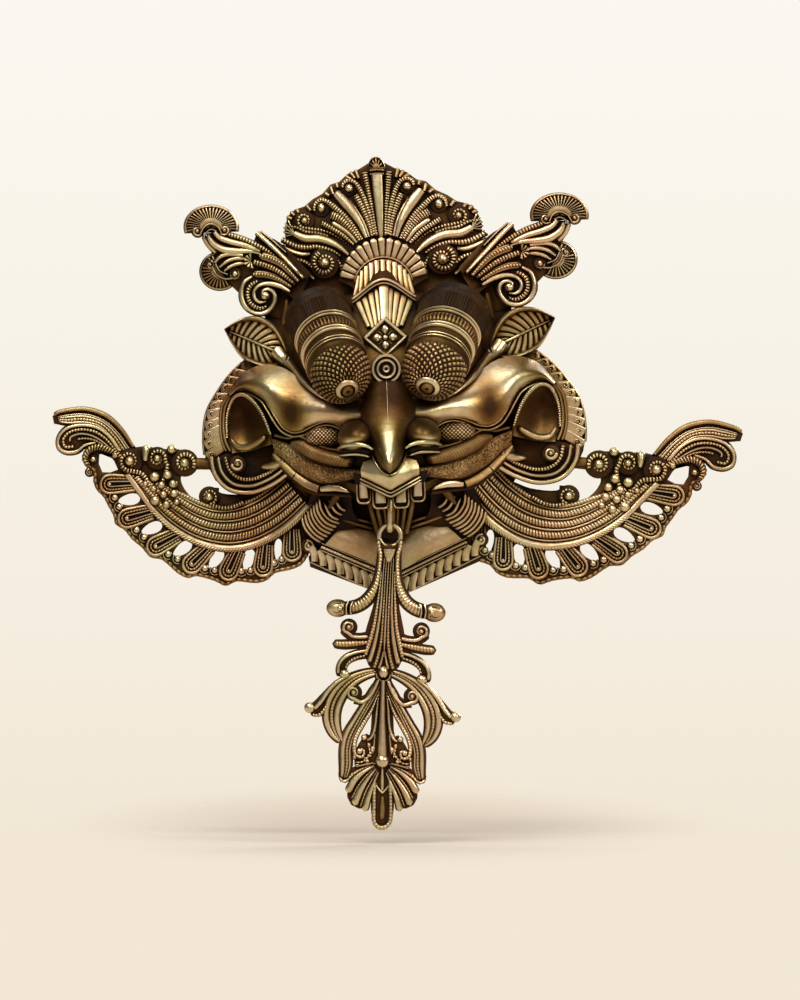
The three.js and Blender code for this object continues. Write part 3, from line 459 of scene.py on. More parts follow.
def curl(centre, radius, start, turns, *, width=None, mill=0, lead=(), rise=3.0, base=None, polish=0.75, seed=0.34):
    """A scroll: a strand that winds in to a ball, on a low round base."""
    width = width or radius * 0.5
    x, z, depth = centre
    winding = spiral((x, z, depth), start, radius - width / 2, radius * 0.3, turns)
    path = np.vstack([deep(lead, depth), winding]) if len(lead) else winding
    t = np.linspace(0, 1, len(path))
    wide = width * np.interp(t, [0, 0.55, 1], [1, 1, 0.55])
    shapes = [strand(path, wide, wide * 0.6, mill=mill and 2.1, cut=0.42, dim=0.7, head=width / 2, step=1.0,
                     polish=polish, bury=1.2)]
    shapes.append(ball((x, z, depth + 0.5), (radius * seed, radius * seed, rise), rows=7, columns=12, polish=0.8))
    foot = BURIED if base is None else base
    shapes.append(plate(oval((x, z), (radius + 0.4,) * 2), foot, depth + 0.2, round_edge=0.9, crest=0.2))
    return shapes


# Backboard with its fluted sides
SHIELD_SIDE = [(99, -68.5), (108.5, -77), (118.6, -90), (125, -101), (127.6, -115), (127.6, -128), (126, -136)]
CROWN_EDGE = [(0, 64.5), (6, 61.5), (13, 57.5), (20, 55), (26, 50), (32, 48.5), (38, 42.5), (45, 39), (51, 34.5),
              (58, 32.5), (63.5, 28), (66, 19), (66, 8)]


def mirrored_outline(right):
    return [*right, *[(-x, z) for x, z in reversed(right) if x > 0.01]]


def backboard():
    right = [*CROWN_EDGE, (74, -4), (80, -30), (86, -50), *SHIELD_SIDE, (120.6, -147), (108, -155.5), (95, -157),
             (82, -152), (68, -175), (57, -198), (55.6, -205), (0, -229)]
    return plate(mirrored_outline(right), 0, BOARD, holes=[hollow_edge(0, 360, 73)[:-1]], round_edge=1.2, crest=0.35,
                 polish=0.3)


def side_flutes():
    edge = even(SHIELD_SIDE, 60)[:, :2]
    flutes = 11
    ribs = []
    for i in range(flutes):
        t = (i + 0.5) / flutes
        x, z = edge[int(t * (len(edge) - 1))]
        slope = 0.26 - 1.0 * t ** 1.6
        path = [(x - out, z - out * slope, depth) for out, depth in ((17, 8.6), (11, 8.6), (5, 7.6), (0.6, 6))]
        ribs.append(strand(path, [6.6, 7.2, 7.5, 7.3], 1.4, flat=0.4, sides=9, tail=1.2, polish=0.7, step=1.2, bury=2.6,
                           shade=0.86))
        hook = [(x - 4.6 + 1.9 * math.cos(a), z + 0.6 - 5 * slope * 0.6 + 1.7 * math.sin(a), 8.9)
                for a in np.linspace(-1.2, 3.4, 8)]
        ribs.append(strand(hook, 0.9, 0.7, step=0.8, polish=0.5, bury=0.8))
        ribs.append(ball((x - 4.6, z + 0.4 - 3 * slope, 8.7), (0.8, 0.8, 0.9), rows=5, columns=8))
    border = strand([(x + 0.2, z, 4.4) for x, z in edge[::6]], 1.8, 2, polish=0.4)
    return both(ribs, border)


# Crown
# Crown ribs from the middle out: places from tip to root, widths, and 1 where the rib is milled
CROWN_RIBS = [([(8, 56), (6.2, 43), (4.6, 31.5), (3.5, 19.5), (3, 13)], (3.2, 2.8, 2.4, 1.8, 1.3), 1),
              ([(24, 45.5), (22.8, 48.8), (19.4, 50.6), (15.4, 49.2), (13, 46), (10.1, 39.5), (7.7, 31.5), (5.8, 23.5),
                (4.6, 13.5)], (1.4, 1.8, 2.1, 2.3, 2.6, 2.6, 2.3, 1.8, 1.2), 1),
              ([(15.5, 41), (12.1, 33.9), (9.2, 26.6), (7.2, 19.4), (6, 12.4)], (2.6, 2.9, 2.5, 2, 1.3), 1),
              ([(21, 38.4), (15.2, 29.9), (11.2, 22), (8.2, 12.4)], (1.3, 1.6, 1.5, 1.1), 0),
              ([(29.5, 43.6), (23, 36), (17.6, 28.5), (13.2, 20.6), (10, 11.8)], (3.2, 4.3, 3.7, 2.7, 1.5), 0),
              ([(44.4, 30.5), (43.4, 35.2), (39.6, 38), (35.2, 37), (28.4, 31.2), (22.4, 25.2), (17.3, 18.2),
                (12.8, 10.8)], (1.4, 1.8, 2.2, 2.8, 2.8, 2.4, 1.8, 1.2), 1),
              ([(33, 28.2), (26.9, 24.8), (21.9, 20), (17.6, 14.8), (14.4, 9.8)], (3.8, 3.9, 3.2, 2.3, 1.3), 1),
              ([(33.4, 23.2), (27, 19.3), (21.8, 15.2), (16.6, 8.6)], (2, 2.2, 1.9, 1.2), 0),
              ([(40, 23), (32, 18.2), (26, 14.2), (18.8, 7.4)], (2.4, 2.3, 2.1, 1.3), 1)]
CROWN_EARS = [((12.4, 51.6), (14.4, 58)), ((14.8, 51.6), (18, 56.4)), ((17.2, 51.2), (21.4, 53.4)),
              ((30.2, 41.4), (32, 47)), ((33, 40.4), (36.2, 43)), ((27, 45.6), (27.8, 49)), ((46.6, 31), (49.6, 35)),
              ((58.2, 28.4), (61.2, 31.2)), ((55.2, 29.8), (56.6, 32.6)), ((60.2, 26.2), (64.2, 27.8))]


def crown_depth(x, z):
    return 11.6 - 6 * np.clip((math.hypot(x, z + 8) - 20) / 50, 0, 1)


def crown():
    bar = strand([(0, 6, 10.6), (0, 30, 10.4), (0, 44, 9.4), (0, 54, 8.4)], [1.8, 4.4, 6.4, 7.8], [2.2, 3, 3.2, 3.2],
                 flat=0.4, polish=0.75, sides=9, bury=2)
    bands = [strand(whole((0, z, 8.8), (5.2, z - 0.5, 8)), 1.9, 3.2, head=1, tail=1) for z in (54.6, 57)]
    tip = cap((0, 57.6), (5.8, 8.6), (-98, 98), 7, base=5.4, rise=3.6, rim=0.88)
    fan = [strand([(x, z, crown_depth(x, z)) for x, z in path], 1.85 * np.array(wide),
                  np.minimum(np.array(wide) * 1.05, 3), mill=PITCH * 0.85 if mill else 0, head=1.4, bury=2, polish=0.65,
                  sides=8, cut=0.3, dim=0.4) for path, wide, mill in CROWN_RIBS]
    ears = [strand([(*low, crown_depth(*low) + 0.4), (*high, 5.2)], [2.6, 3.2], 2, tail=1.4, bury=2, polish=0.4,
                   shade=0.85) for low, high in CROWN_EARS]
    pearls = [ball((19.4, 45.4, 7.4), (3.1, 3.1, 3.4), polish=0.95),
              ball((39.3, 32.9, 7.4), (2.9, 3.6, 3.4), polish=0.95)]
    feet = [plate(oval(at, (r, r)), 1, 6.6, round_edge=0.9, crest=0.15)
            for at, r in (((19.4, 45.4), 5.6), ((39.3, 32.6), 6))]
    roll = curl((51.6, 24.8, 7.2), 6.8, -92, 1.05, width=3.4, mill=1, rise=3.6, seed=0.38,
                lead=[(20, 5.2), (27.2, 11.6), (34.3, 15.7), (41.5, 17.9), (47.4, 18.8)])
    swept = [strand([(60.4, 17, 6.6), (52.1, 12.8, 8), (42, 12, 9.2), (34, 9.3, 10.2), (28, 5.6, 11),
                     (22.8, 0.8, 11.6)], [5, 6.6, 6.8, 6, 4.8, 2.8], 3.4, head=1.2, bury=2, polish=0.65, sides=8),
             strand([(66, 21, 6), (58.4, 20.6, 7), (51, 17.2, 8), (43, 16, 8.6), (35, 13.4, 9.6)], [2, 2.8, 3, 2.8, 2],
                    2.6, head=1, tail=1, bury=2, mill=PITCH, polish=0.6),
             strand([(69, 12.8, 6), (64, 10.2, 6.8), (58.4, 7.6, 7.6), (52, 6.6, 8.6), (44, 6.8, 9.6), (34, 4, 10.8),
                     (28, 0, 11.4)], [4.2, 5, 5, 4.4, 3.8, 3, 2], 3, head=1, bury=2, mill=PITCH, polish=0.7),
             strand([(70.4, 8.2, 6), (62, 4.2, 7.2), (55, 2, 8.4), (49, 2.4, 9.4)], [4.4, 5, 4.6, 3], 3, head=1.5,
                    bury=2, polish=0.7),
             strand([(70, 3.8, 6.4), (61, -1, 8), (53, -3.4, 9.4), (48, -7, 10.4)], [4.2, 5, 4.6, 3.4], 3, head=1.5,
                    bury=2, mill=PITCH, polish=0.6),
             strand([(65, -4, 7.4), (59, -6.6, 9), (53, -10, 10.4), (47, -14.6, 11.4)], [3.4, 4.4, 4, 2.6], 3, head=1.5,
                    bury=2.4, polish=0.7),
             strand([(30.4, -2, 11), (27.6, -8.6, 11), (28.6, -15, 10.6)], [2.4, 3.4, 2.4], 3, head=1, tail=1, bury=2.4,
                    mill=PITCH, polish=0.6)]
    flare = [strand([(59, 15.8, 7.2), (x, z, 5.6)], [1.2, 2], 1.8, tail=0.8, bury=2, polish=0.8)
             for x, z in ((63.4, 26.2), (65.6, 24), (67, 21), (67.4, 17.8), (66.4, 14.9))]
    big = curl((39.5, -4.2, 12), 10.2, 70, -1.3, width=5, mill=1, rise=5, seed=0.38)
    flesh = relief(skin([[(0, 57.6, 4.4), (24, 48, 4.4), (44, 36, 4.4), (60, 28, 4.4), (67, 10, 4.4)],
                         [(0, 32, 7), (14, 28, 7), (28, 20, 7), (42, 11, 7), (50, 3, 7)],
                         [(0, 4, 10), (8, 2, 10), (16, -1, 10), (24, -4, 10), (30, -8, 9.6)]], 12, 16),
                   crest=0.42, polish=0.1)
    return [bar, bands, tip, both(fan, ears, pearls, feet, roll, swept, flare, big, flesh)]


# Tiara and brow
def fall(top, x):
    return top - abs(x) * 0.58


def tiara():
    crest = []
    for i in range(TIARA["bars"]):
        t = (i + 0.5) / TIARA["bars"] * 2 - 1
        turn = math.radians(TIARA["reach"]) * t
        tall = TIARA["outer"] + 2.6 * (1 - abs(t)) - 1
        path = [(r * math.sin(turn), TIARA["z"] + r * math.cos(turn), TIARA["depth"] + 1)
                for r in (TIARA["inner"] + 0.8, 25, tall)]
        crest.append(strand(path, [3, 3.9, 5], 1.7, flat=0.35, tail=1.2, polish=0.5, sides=9, bury=4, shade=0.92))
    hoops = [strand(arch((0, TIARA["z"]), (r, r), (-1.36, 1.36), 12, depth), width, 2.6, polish=0.5, bury=2)
             for r, depth, width in ((TIARA["inner"], 16.6, 1.7), (TIARA["inner"] - 2, 17.6, 1.3))]
    tier = []
    for i in range(11):
        t = i / 10 * 2 - 1
        angle = t * math.radians(66)
        x = t * 19.4
        a = (17.4 * math.sin(angle), TIARA["z"] + 17.4 * math.cos(angle), 18.6)
        tier.append(strand([a, (x, fall(-16.4, x), 24.6)], [3.6, 3.2], 1.6, flat=0.45, polish=0.4, bury=3, sides=9,
                           shade=0.92))
    chevron = [strand(whole((0, top, 29.6), (21, fall(top, 21), 28.4)), w, 3.2, flat=0.7,
                      polish=0.6, bury=3, sides=8) for top, w in ((-17, 2.3), (-19.3, 1.7))]
    brow = []
    for i in range(-4, 5):
        x = i * 4.3
        low = x * 0.62
        brow.append(strand([(x * 1.02, fall(-21.4, x), 28.6), (low, -51.5 + abs(i) * 0.6, 43)],
                           [7.4 if i == 0 else 4.3, 5.4 if i == 0 else 2.8], 2.6 if i == 0 else 1.8, flat=0.4,
                           polish=0.6 if i == 0 else 0.4, bury=3, sides=9, shade=0.95))
    lines = [whole((0, 9.6, 14.4), (16, 4, 14), (30, -16, 13)), whole((0, -2.6, 17.4), (12, -7, 17), (20, -22, 16)),
             whole((0, -17, 28.4), (10, -22.5, 27.4), (21, -29, 26)),
             whole((0, -52, 42.4), (8, -52, 41.6), (17, -52, 38))]
    flesh = relief(skin(lines, 20, 24), crest=0.25, polish=0.3)
    return [crest, hoops, tier, chevron, brow, flesh]


def brooch():
    centre = -56
    across, up = 13.6, 12.3
    frame_line = [(across, centre, 49), (0, centre + up, 49), (-across, centre, 49), (0, centre - up, 49)]
    sides = [strand([frame_line[i], frame_line[(i + 1) % 4]], 2.4, 2.2, flat=0.6, polish=0.85, bury=2, sides=8)
             for i in range(4)]
    corners = [ball(p, (1.5, 1.5, 2.2), polish=0.85) for p in frame_line]
    body = plate([(across + 0.8, centre), (0, centre + up + 0.8), (-across - 0.8, centre), (0, centre - up - 0.8)],
                 32, 48.4, round_edge=0.8, crest=0.6, polish=0.5)
    petals = []
    for i in range(4):
        a = i * math.pi / 2
        base = np.array([math.sin(a), math.cos(a)])
        near, far = base * 2.2, base * 8.4
        petals.append(strand([(near[0], centre + near[1], 48.6), (base[0] * 5.2, centre + base[1] * 5.2, 49.4),
                              (far[0], centre + far[1], 48.6)], [2.6, 6.4, 2.4], 2.2, head=1.6, tail=1.6, polish=0.9,
                             sides=8))
        side = np.array([math.sin(a + math.pi / 4), math.cos(a + math.pi / 4)])
        petals.append(strand([(side[0] * 2.5, centre + side[1] * 2.5, 48.4),
                              (side[0] * 6.4, centre + side[1] * 6.4, 48.4)], 1.1, 1.2, tail=0.6))
    petals.append(ball((0, centre, 49), (2.2, 2.2, 2.6), polish=0.85))
    profile = [(0, 57.6), (0.7, 57.6), (1.2, 59.2), (2.2, 59.4), (3, 58.6), (3.5, 57.2), (4.5, 57.2), (5.1, 59.8),
               (6.3, 60), (6.9, 57.4), (7.7, 57.2), (8.2, 58.8), (9.6, 59), (10.1, 58), (10.2, 40), (0, 40)]
    shade = [0.4, 0.6, 1, 1, 1, 0.35, 0.6, 1, 1, 0.5, 0.35, 1, 1, 1, 0.4, 0.4]
    boss = lathe(profile, (0, -77, 0), (0, 0, 1), 36, crest=shade, polish=0.75)
    return [body, sides, corners, petals, boss]


# Eyes
def eye():
    """A stalked eye: pupil, a ball of raised diamonds, rings, a row of beads and a hatched hood."""
    r, length = EYE["ball"], EYE["length"]
    diamonds, diamond_turn, beads, hatches = 26, 5.4, 26, 38
    ball_rows = np.linspace(math.radians(20), math.radians(96), 46)
    dome = [((r + 0.4) * math.sin(a), (r + 0.4) * math.cos(a)) for a in ball_rows]
    pupil = [(0, r + 1.0), (0.9, r + 0.9), (1.3, r + 1.9), (3.6, r + 1.6), (4.0, r + 0.3), (4.9, r - 0.1),
             (5.4, r + 1.2), (7.4, r + 0.5), (8.0, r - 0.6), (8.2, r - 2.0)]
    rows = [(r - 0.2, -2.4), (r - 0.2, -7.6), (r + 0.1, -8.2)]

    def ring(at, proud, half=1.2):
        return [(r + 0.2, at + half), (r + proud * 0.8, at + half * 0.6), (r + proud, at),
                (r + proud * 0.8, at - half * 0.6), (r + 0.2, at - half)]

    rows += ring(-10, 1.9) + ring(-12.8, 1.9) + [(r, -14.4), (r + 0.2, -19.4)] + ring(-21, 2.2) + ring(-23.8, 2.2)
    rows += [(r + 0.4, -25.4), (r + 0.4, -26.6)]
    first, last = len(pupil), len(pupil) + len(dome)
    start = last + len(rows)
    rows += [(r + 1.2, s) for s in np.linspace(-27.2, -34.4, 9)]
    stop = last + len(rows)
    rows += [(r + 0.4, -35)] + ring(-36.6, 2.4, 1.0) + ring(-39.2, 2.8, 1.0) + [(r + 1, -40.8)]
    hood = last + len(rows)
    rows += [(r + 1.4 + 0.06 * (-41 - s), s) for s in np.linspace(-41.2, -length, 10)]
    rows += [(r + 4.5, -length - 2), (r + 3, -length - 9), (0, -length - 10)]
    profile = np.array(pupil + dome + rows)
    crest = np.ones(len(profile))
    crest[[0, 5, 9]] = 0.2
    crest[1:4] = 0.62
    crest[last:] = 0.3
    # Proud rings are brighter than their height alone gives: partly rubbed wear, partly a painted highlight
    proud = profile[:, 0] > r + 1.6
    crest[proud] = 1.25
    # The hood is painted dark: painted shade, as it lies in shade
    crest[hood:] = 0.12

    def pattern(radius, along, shade, phi):
        # Raised diamonds between two sets of crossing lines
        u = np.arange(last - first)[:, None] / (last - first) * diamond_turn
        one, two = [np.abs(((diamonds * phi[None, :] / (2 * math.pi) + k * u) % 1) - 0.5) * 2 for k in (1, -1)]
        raised = np.clip(np.minimum(1 - one, 1 - two) * 2.1 - 0.12, 0, 1)
        way = np.stack([np.sin(ball_rows), np.cos(ball_rows)], 1)
        lift = (raised - 0.35) * 1.5
        radius[first:last] += lift * way[:, :1]
        along[first:last] += lift * way[:, 1:]
        shade[first:last] = 0.02 + 0.78 * raised
        bead = 1 - np.abs(np.cos(beads * phi)) ** 3
        radius[start:stop] += 1.5 * bead[None, :] * np.sin(np.linspace(0, math.pi, stop - start))[:, None]
        shade[start:stop] = 0.15 + 0.5 * bead[None, :]
        hatch = np.abs(np.cos(hatches * phi))
        # Hatched hood, painted dark as in shade
        radius[hood:hood + 10] += 0.8 * hatch[None, :]
        shade[hood:hood + 10] = 0.05 + 0.2 * hatch[None, :]
        return radius, along, shade

    return both(lathe(profile, EYE["at"], EYE["axis"], 216, crest=crest, polish=0.6, relief_of=pattern))


# Horns
def horns():
    caps = [cap((116.6, 22.6), (18.8, 14.8), (-102, 102), 23, base=5.5, rise=5, inner=0.4),
            cap((112.6, -7), (13.6, 12.6), (16, 214), 15, base=4.5, rise=4.4, inner=0.4)]
    grounds = [plate(arch((116.6, 22.6), (19.2, 15.2), (-1.8, 1.8), 30), 0, 6.4, crest=0.2),
               plate(arch((112.6, -7), (14.2, 13.2), (0.25, 3.8), 26), 0, 5.4, crest=0.2)]
    collars = [strand(path, width, height, polish=0.7, step=1) for path, width, height in (
        ([(124, 18.6, 9.4), (121.4, 22.6, 10.6), (116.8, 24.6, 11), (112.2, 22.8, 10.6), (110, 19, 9.4)], 1.6, 2.2),
        ([(122, 16, 9), (119.6, 19.6, 10), (116.4, 21, 10.4), (113.2, 19.8, 10)], 1.5, 2.2),
        ([(117.4, -4, 8.4), (114.6, -9.4, 9), (108.6, -12.4, 9), (104, -12, 8.4)], 1.6, 2),
        ([(115, -2.4, 8.4), (112.4, -7, 9), (107, -9.4, 9)], 1.5, 2))]
    eyelets = [curl((126.2, 20.4, 9), 4.2, 200, 1.1, width=1.8), curl((107.6, 20.2, 9.4), 4.4, -20, -1.1, width=1.9),
               curl((118.8, -2.6, 8), 3.6, 90, 1.1, rise=2.8, width=1.6),
               curl((102, -9.2, 8), 4.2, 0, -1.1, rise=3.4, width=1.4, seed=0.6)]
    neck = [strand([(105.5, 17.4, 9), (94.1, 13.3, 9.6), (85.4, 9, 10.4), (77.4, 4.2, 11.4), (68, -4, 14)],
                   [4, 4.6, 4.4, 3.6, 2.4], 3, mill=PITCH, head=1.5, bury=2, polish=0.5),
            strand([(115.4, 20.4, 9.6), (111.6, 15.6, 9.6), (104.4, 12.4, 10), (94, 9.4, 10.4), (84, 5.2, 11)],
                   [3.6, 4.6, 4.8, 4.4, 3], 3, head=1, bury=2, polish=0.75),
            strand([(119.4, 18.6, 9), (116.6, 12.4, 9.2), (109.4, 7.4, 9.4), (100.7, 6, 9.8), (91, 5.6, 10),
                    (84, 3.4, 10)], [3, 4.8, 5.8, 5.4, 4.2, 2.4], 3.2, head=1, bury=2, polish=0.75),
            strand([(122.6, 17.6, 7.6), (119.6, 11, 7.6), (113.6, 4.6, 7.6)], 3.6, 2.2, bury=2, polish=0.5, head=1,
                   tail=1)]
    lower = [strand(path, wide, height, bury=2, polish=polish) for path, wide, height, polish in (
        ([(115.6, -1.4, 8.4), (112.1, 2.2, 8.6), (106.4, 4, 9), (96, 3, 9.4)], [2.8, 3.6, 3.8, 3.2], 2.6, 0.6),
        ([(112.4, -4.4, 8.6), (107, -0.6, 9), (101, 1, 9.2), (94, 0.6, 9.4)], [2.6, 3.4, 3.4, 2.8], 2.6, 0.6),
        ([(109.2, -7, 8.6), (105, -4.2, 8.8), (100, -2.6, 9), (94.6, -2.4, 9)], [2.4, 3.2, 3.2, 2.6], 2.4, 0.5))]
    long_reed = strand([(85.4, 17.4, 8.6), (78, 10.6, 11), (69.2, 1.8, 15), (53.9, -14.6, 24)], [3.8, 3.8, 3.4, 2.4],
                       3.4, polish=1.0, bury=2.6, sides=8)
    beside = strand([(82.6, 18.6, 7.8), (75.6, 12.8, 10), (66, 3.6, 14)], [1.6, 1.4, 1.2], 1.8, bury=2, polish=0.4)
    outlined = []
    for path, wide in (([(85, 2.6, 10), (77.4, 0.2, 12.4), (69.4, -4, 16), (57.8, -16, 23)], (6.6, 6.2, 5, 2.6)),
                       ([(90, -10, 9), (80.6, -10.6, 11.4), (72.4, -13.6, 14.6), (63.4, -19.2, 19.4)],
                        (6, 5.6, 4.6, 2.4))):
        wide = np.array(wide)
        outlined.append(strand(path, wide, wide * 0.36, head=3, bury=2, polish=0.7, sides=8))
        lifted = [(x, z, depth + 1.2) for x, z, depth in path]
        outlined.append(strand(lifted, wide * 0.56, wide * 0.34, mill=PITCH, head=1.6, polish=0.6, bury=0.4))
    third = strand([(88.6, -1.6, 10), (80.6, -4.4, 12), (72, -8.6, 15.4), (60.4, -17.8, 21.4)], [4.6, 4.6, 4, 2.4], 3,
                   mill=PITCH, cut=0.3, bury=2, polish=0.75)
    leaf = sector((90.4, -1, 10.4), (0.6, 5.4), (-10, 200), 6, tail=1.2, height=0.7, polish=0.5)
    flesh = relief(skin([[(85.4, 18, 6), (91, 4, 6), (92, -13, 6)], [(72, 12, 8), (76, -2, 9), (78, -16, 9)],
                         [(50, -10, 20), (54, -20, 20), (60, -29, 17)]], 12, 10), crest=0.34, polish=0.2)
    disc = plate(oval((86, -24), (14.4, 14), 28), 0, 9.6, round_edge=1.5, crest=0.34)
    outer = strand([(89.6, -11.2, 10), (95.6, -15, 10.4), (98, -22.1, 10.8), (96.8, -28.8, 11), (93, -33.9, 11.2),
                    (88, -36.4, 11.4), (82.4, -36, 11.6), (77.4, -32.6, 11.8), (74.9, -27.2, 12), (76, -22.2, 12.2),
                    (79.6, -20.4, 12.4), (83.4, -22, 12.6), (83, -25, 12.8)],
                   [2.6, 3.4, 3.6, 3.6, 3.6, 3.6, 3.8, 4.2, 4.4, 4.2, 3.8, 3.2, 2.6], 3, polish=0.9, head=1.6, sides=8,
                   step=1, bury=2)
    milled = strand([(86.4, -14.6, 11), (91.4, -17.6, 11), (93.6, -22.9, 11), (92.4, -28.3, 11.2), (88.8, -31.8, 11.4),
                     (84.4, -33, 11.6), (80.6, -31, 11.8)], [3, 4.2, 4.4, 4.4, 4.4, 4, 2], 2.6, mill=1.9, cut=0.36,
                    polish=0.7, bury=2)
    inner = strand([(63.6, -22.8, 18), (71.5, -18.4, 15), (79.7, -16.6, 12.4), (86.4, -18.2, 11.8), (89.4, -22.4, 11.8),
                    (88.4, -26.8, 12), (85, -29, 12), (81.4, -28.4, 12)], [2.4, 3.6, 4, 3.8, 3.4, 3.2, 3, 2], 3,
                   polish=0.85, bury=2, sides=8, step=1)
    seed = ball((81.6, -24.6, 12.6), (3.4, 3.2, 3.6), polish=0.9)
    strap = strand([(67, -27, 12), (67.6, -35, 13), (70, -45, 10)], [3, 5.4, 4], 3.6, head=1.5, tail=1.5, polish=0.3,
                   shade=0.45)
    web = plate([(58, -6), (66, 2.6), (75.6, 11.6), (82.4, 17.6), (85, 15.6), (83.4, 9.4), (94, 13.4), (106, 20),
                 (120, 18.6), (121, 10), (115.6, 3), (113, -4), (106, -16), (84, -38), (66, -42), (60, -10)], 0, 6,
                crest=0.34)
    return both(caps, grounds, collars, eyelets, neck, lower, long_reed, beside, outlined, third, leaf, flesh, disc,
                outer, milled, inner, seed, strap, web)


# Ears
EAR_UPPER = [(111, -45.9), (104, -41.6), (97.2, -38.7), (86.4, -38.2), (77, -43), (71, -51.8), (68, -62), (69, -68)]
EAR_LOWER = [(111, -45.9), (106, -56.2), (99.5, -65.6), (90.6, -70.9), (81, -73), (73.5, -71.5), (69, -68)]


def ears():
    count = 120
    upper, lower = even(EAR_UPPER, count), even(EAR_LOWER, count)
    rib = even([(106, -48), (92, -54.5), (76, -62)], count)
    shapes = []
    rows = []
    for edge in (upper, lower):
        rim = edge[:, :2]
        root = rib[:, :2]
        lines = []
        shade = []
        blade = [(t, 9.6 + 1.4 * t) for t in np.linspace(0, 0.74, 9)]
        for t, depth in (*blade, (0.78, 12), (0.84, 15.2), (0.91, 16), (0.97, 14.8), (1.0, 12)):
            vein = np.exp(-((((np.arange(count) / count * 10 - 1.3 * t) % 1) - 0.5) / 0.13) ** 2) * (t < 0.75)
            lines.append(np.column_stack([root + (rim - root) * t, depth - 1.3 * vein]))
            shade.append((0.9 if t < 0.75 else 0.4 if t < 0.8 else 0.95) * (1 - 0.9 * vein))
        rows.append(relief(np.stack(lines), crest=np.array(shade), polish=0.6))
    shapes.append(strand([(107, -47.8, 9.8), (92, -54.5, 9.6), (74.5, -62.6, 9.8)], [1.2, 2, 2.6], 1.8, polish=0.7))
    outline = np.vstack([upper[::3], lower[::-3][1:-1]])[:, :2]
    shapes.append(plate(outline, 0, 9, crest=0.3))
    stem = strand([(75, -62, 12), (70, -68.5, 16), (64.7, -74, 24), (56, -84.5, 44), (46, -93.2, 56), (40, -97, 60)],
                  [10, 9, 7, 5, 3, 1], [5, 5, 4.4, 3.4, 2.4, 1], tail=2, polish=0.9, sides=10, step=1.0)
    folds = [strand([(66.6 + i * 1.6, -66 + i * 2, 18 + i), (69.6 + i * 1.2, -71.8 + i * 0.4, 19)], 1.6, 4.4, head=1,
                    tail=1, polish=0.8) for i in range(2)]
    return both(rows, shapes, stem, folds)


# Face
def dome():
    theta = np.linspace(0.06, math.pi - 0.06, 40)
    phi = np.linspace(0, math.pi, 40)
    x = DOME["across"] * np.cos(phi)[None, :] * np.sin(theta)[:, None]
    d = DOME["out"] * np.sin(phi)[None, :] * np.sin(theta)[:, None]
    tall = np.where(np.cos(theta) > 0, DOME["up"], DOME["down"])
    z = DOME["centre"] + (tall * np.cos(theta))[:, None] * np.ones(40)
    return relief(np.stack([x, z, d], -1), floor=0, crest=0.45, polish=0.35)


CHEEK_TOP = [(110, -88, 9), (99, -76, 15), (86, -71, 23), (72, -73, 31), (58, -82, 41), (44, -90, 49), (28, -95, 55),
             (8, -96, 59)]
CHEEK_RIM = [(107, -92.5, 11), (99, -88.5, 24), (86.5, -94.5, 35), (79.5, -105.5, 41), (74.5, -113.5, 43),
             (67.5, -118.5, 45), (58, -118, 48), (48, -115, 52), (38, -113.6, 57), (24, -116, 64), (12, -119, 67)]


def patch(x, z, centre, reach):
    return np.exp(-((x - centre[0]) / reach[0]) ** 2 - ((z - centre[1]) / reach[1]) ** 2)


def cheeks():
    upper, lower = even(CHEEK_TOP, 60), even(CHEEK_RIM, 60)
    rows = []
    for t in np.linspace(0, 1, 22):
        line = upper * (1 - t) + lower * t
        line[:, 2] += 9.5 * math.sin(math.pi * t)
        rows.append(line)
    top = np.stack(rows)
    x, z = top[..., 0], top[..., 1]
    # Darker patches on the cheek: painted shade where the cheek lies in shade, partly stains
    shade_and_stains = 0.6 * patch(x, z, (101, -80), (13, 8)) + 0.75 * patch(x, z, (66, -104), (9, 15)) + 0.12 * patch(
        x, z, (30, -101), (9, 13))
    swell = relief(top, crest=0.92 - np.clip(shade_and_stains, 0, 0.7), polish=0.8)
    cords = []
    for offset, wide, lift in ((-1.6, 1.7, 0.4), (0.9, 1.7, 0.9)):
        side = lower.copy()
        _, across, _ = frames(side)
        side = side + across * -offset
        side[:, 2] += lift
        cords.append(strand(side[:45:4], wide, 1.7, polish=0.5, bury=2, step=1.0, tail=2, shade=0.85))
    cords.append(strand([(111.4, -119, 12.6), (110.6, -104, 13.6), (105.6, -92.6, 19), (99.4, -90.4, 26.4),
                         (93, -94.4, 33), (87, -102.4, 38), (83.2, -111, 40.4), (80.8, -118, 39)],
                        [2.6, 2.8, 3, 3.2, 3.2, 3, 2.8, 2], 2.4, mill=1.6, slant=0.3, cut=0.3, polish=0.9, bury=3,
                        tail=1, sides=8))
    # Cuff inside the pricked opening: a dark bowl, painted lighter toward its bright lower lip as if lit there
    bowl = skin([[(111, -92, 12), (100, -91, 20), (90, -95, 30)], [(112, -104, 9), (100, -104, 8), (86, -106, 26)],
                 [(112, -118, 9), (99, -116, 8), (81, -116, 32)], [(108, -129, 12), (96, -128, 14), (80, -124, 30)]],
                22, 18)
    painted_light_low = np.clip((-112 - bowl[..., 1]) / 14, 0, 1)
    bowl = relief(bowl, crest=0.34 + 0.45 * painted_light_low, polish=0.35)
    lip = strand([(84, -118.4, 29), (90, -122.6, 25), (97.4, -125.6, 21), (104.4, -124.8, 17), (109, -119, 13)],
                 [3, 4.6, 5, 4.2, 2], [2, 3, 3, 2.6, 1.6], head=2, tail=2, polish=0.5, sides=9, step=1, shade=0.8)
    wall = [strand([(104 + i * 3.2, -88 - i * 1.0, 13 - i * 2), (111 + i * 2.4, -96, 12 - i * 2),
                    (113.4 + i * 2.2, -108, 11 - i * 2), (112.6 + i * 2.4, -120, 11 - i * 2),
                    (109 + i * 3, -129, 11 - i * 2)], 2.6, 2.6, polish=0.4, bury=1.6, head=1, tail=1, shade=0.8)
            for i in range(2)]
    return both(swell, cords, bowl, lip, wall)


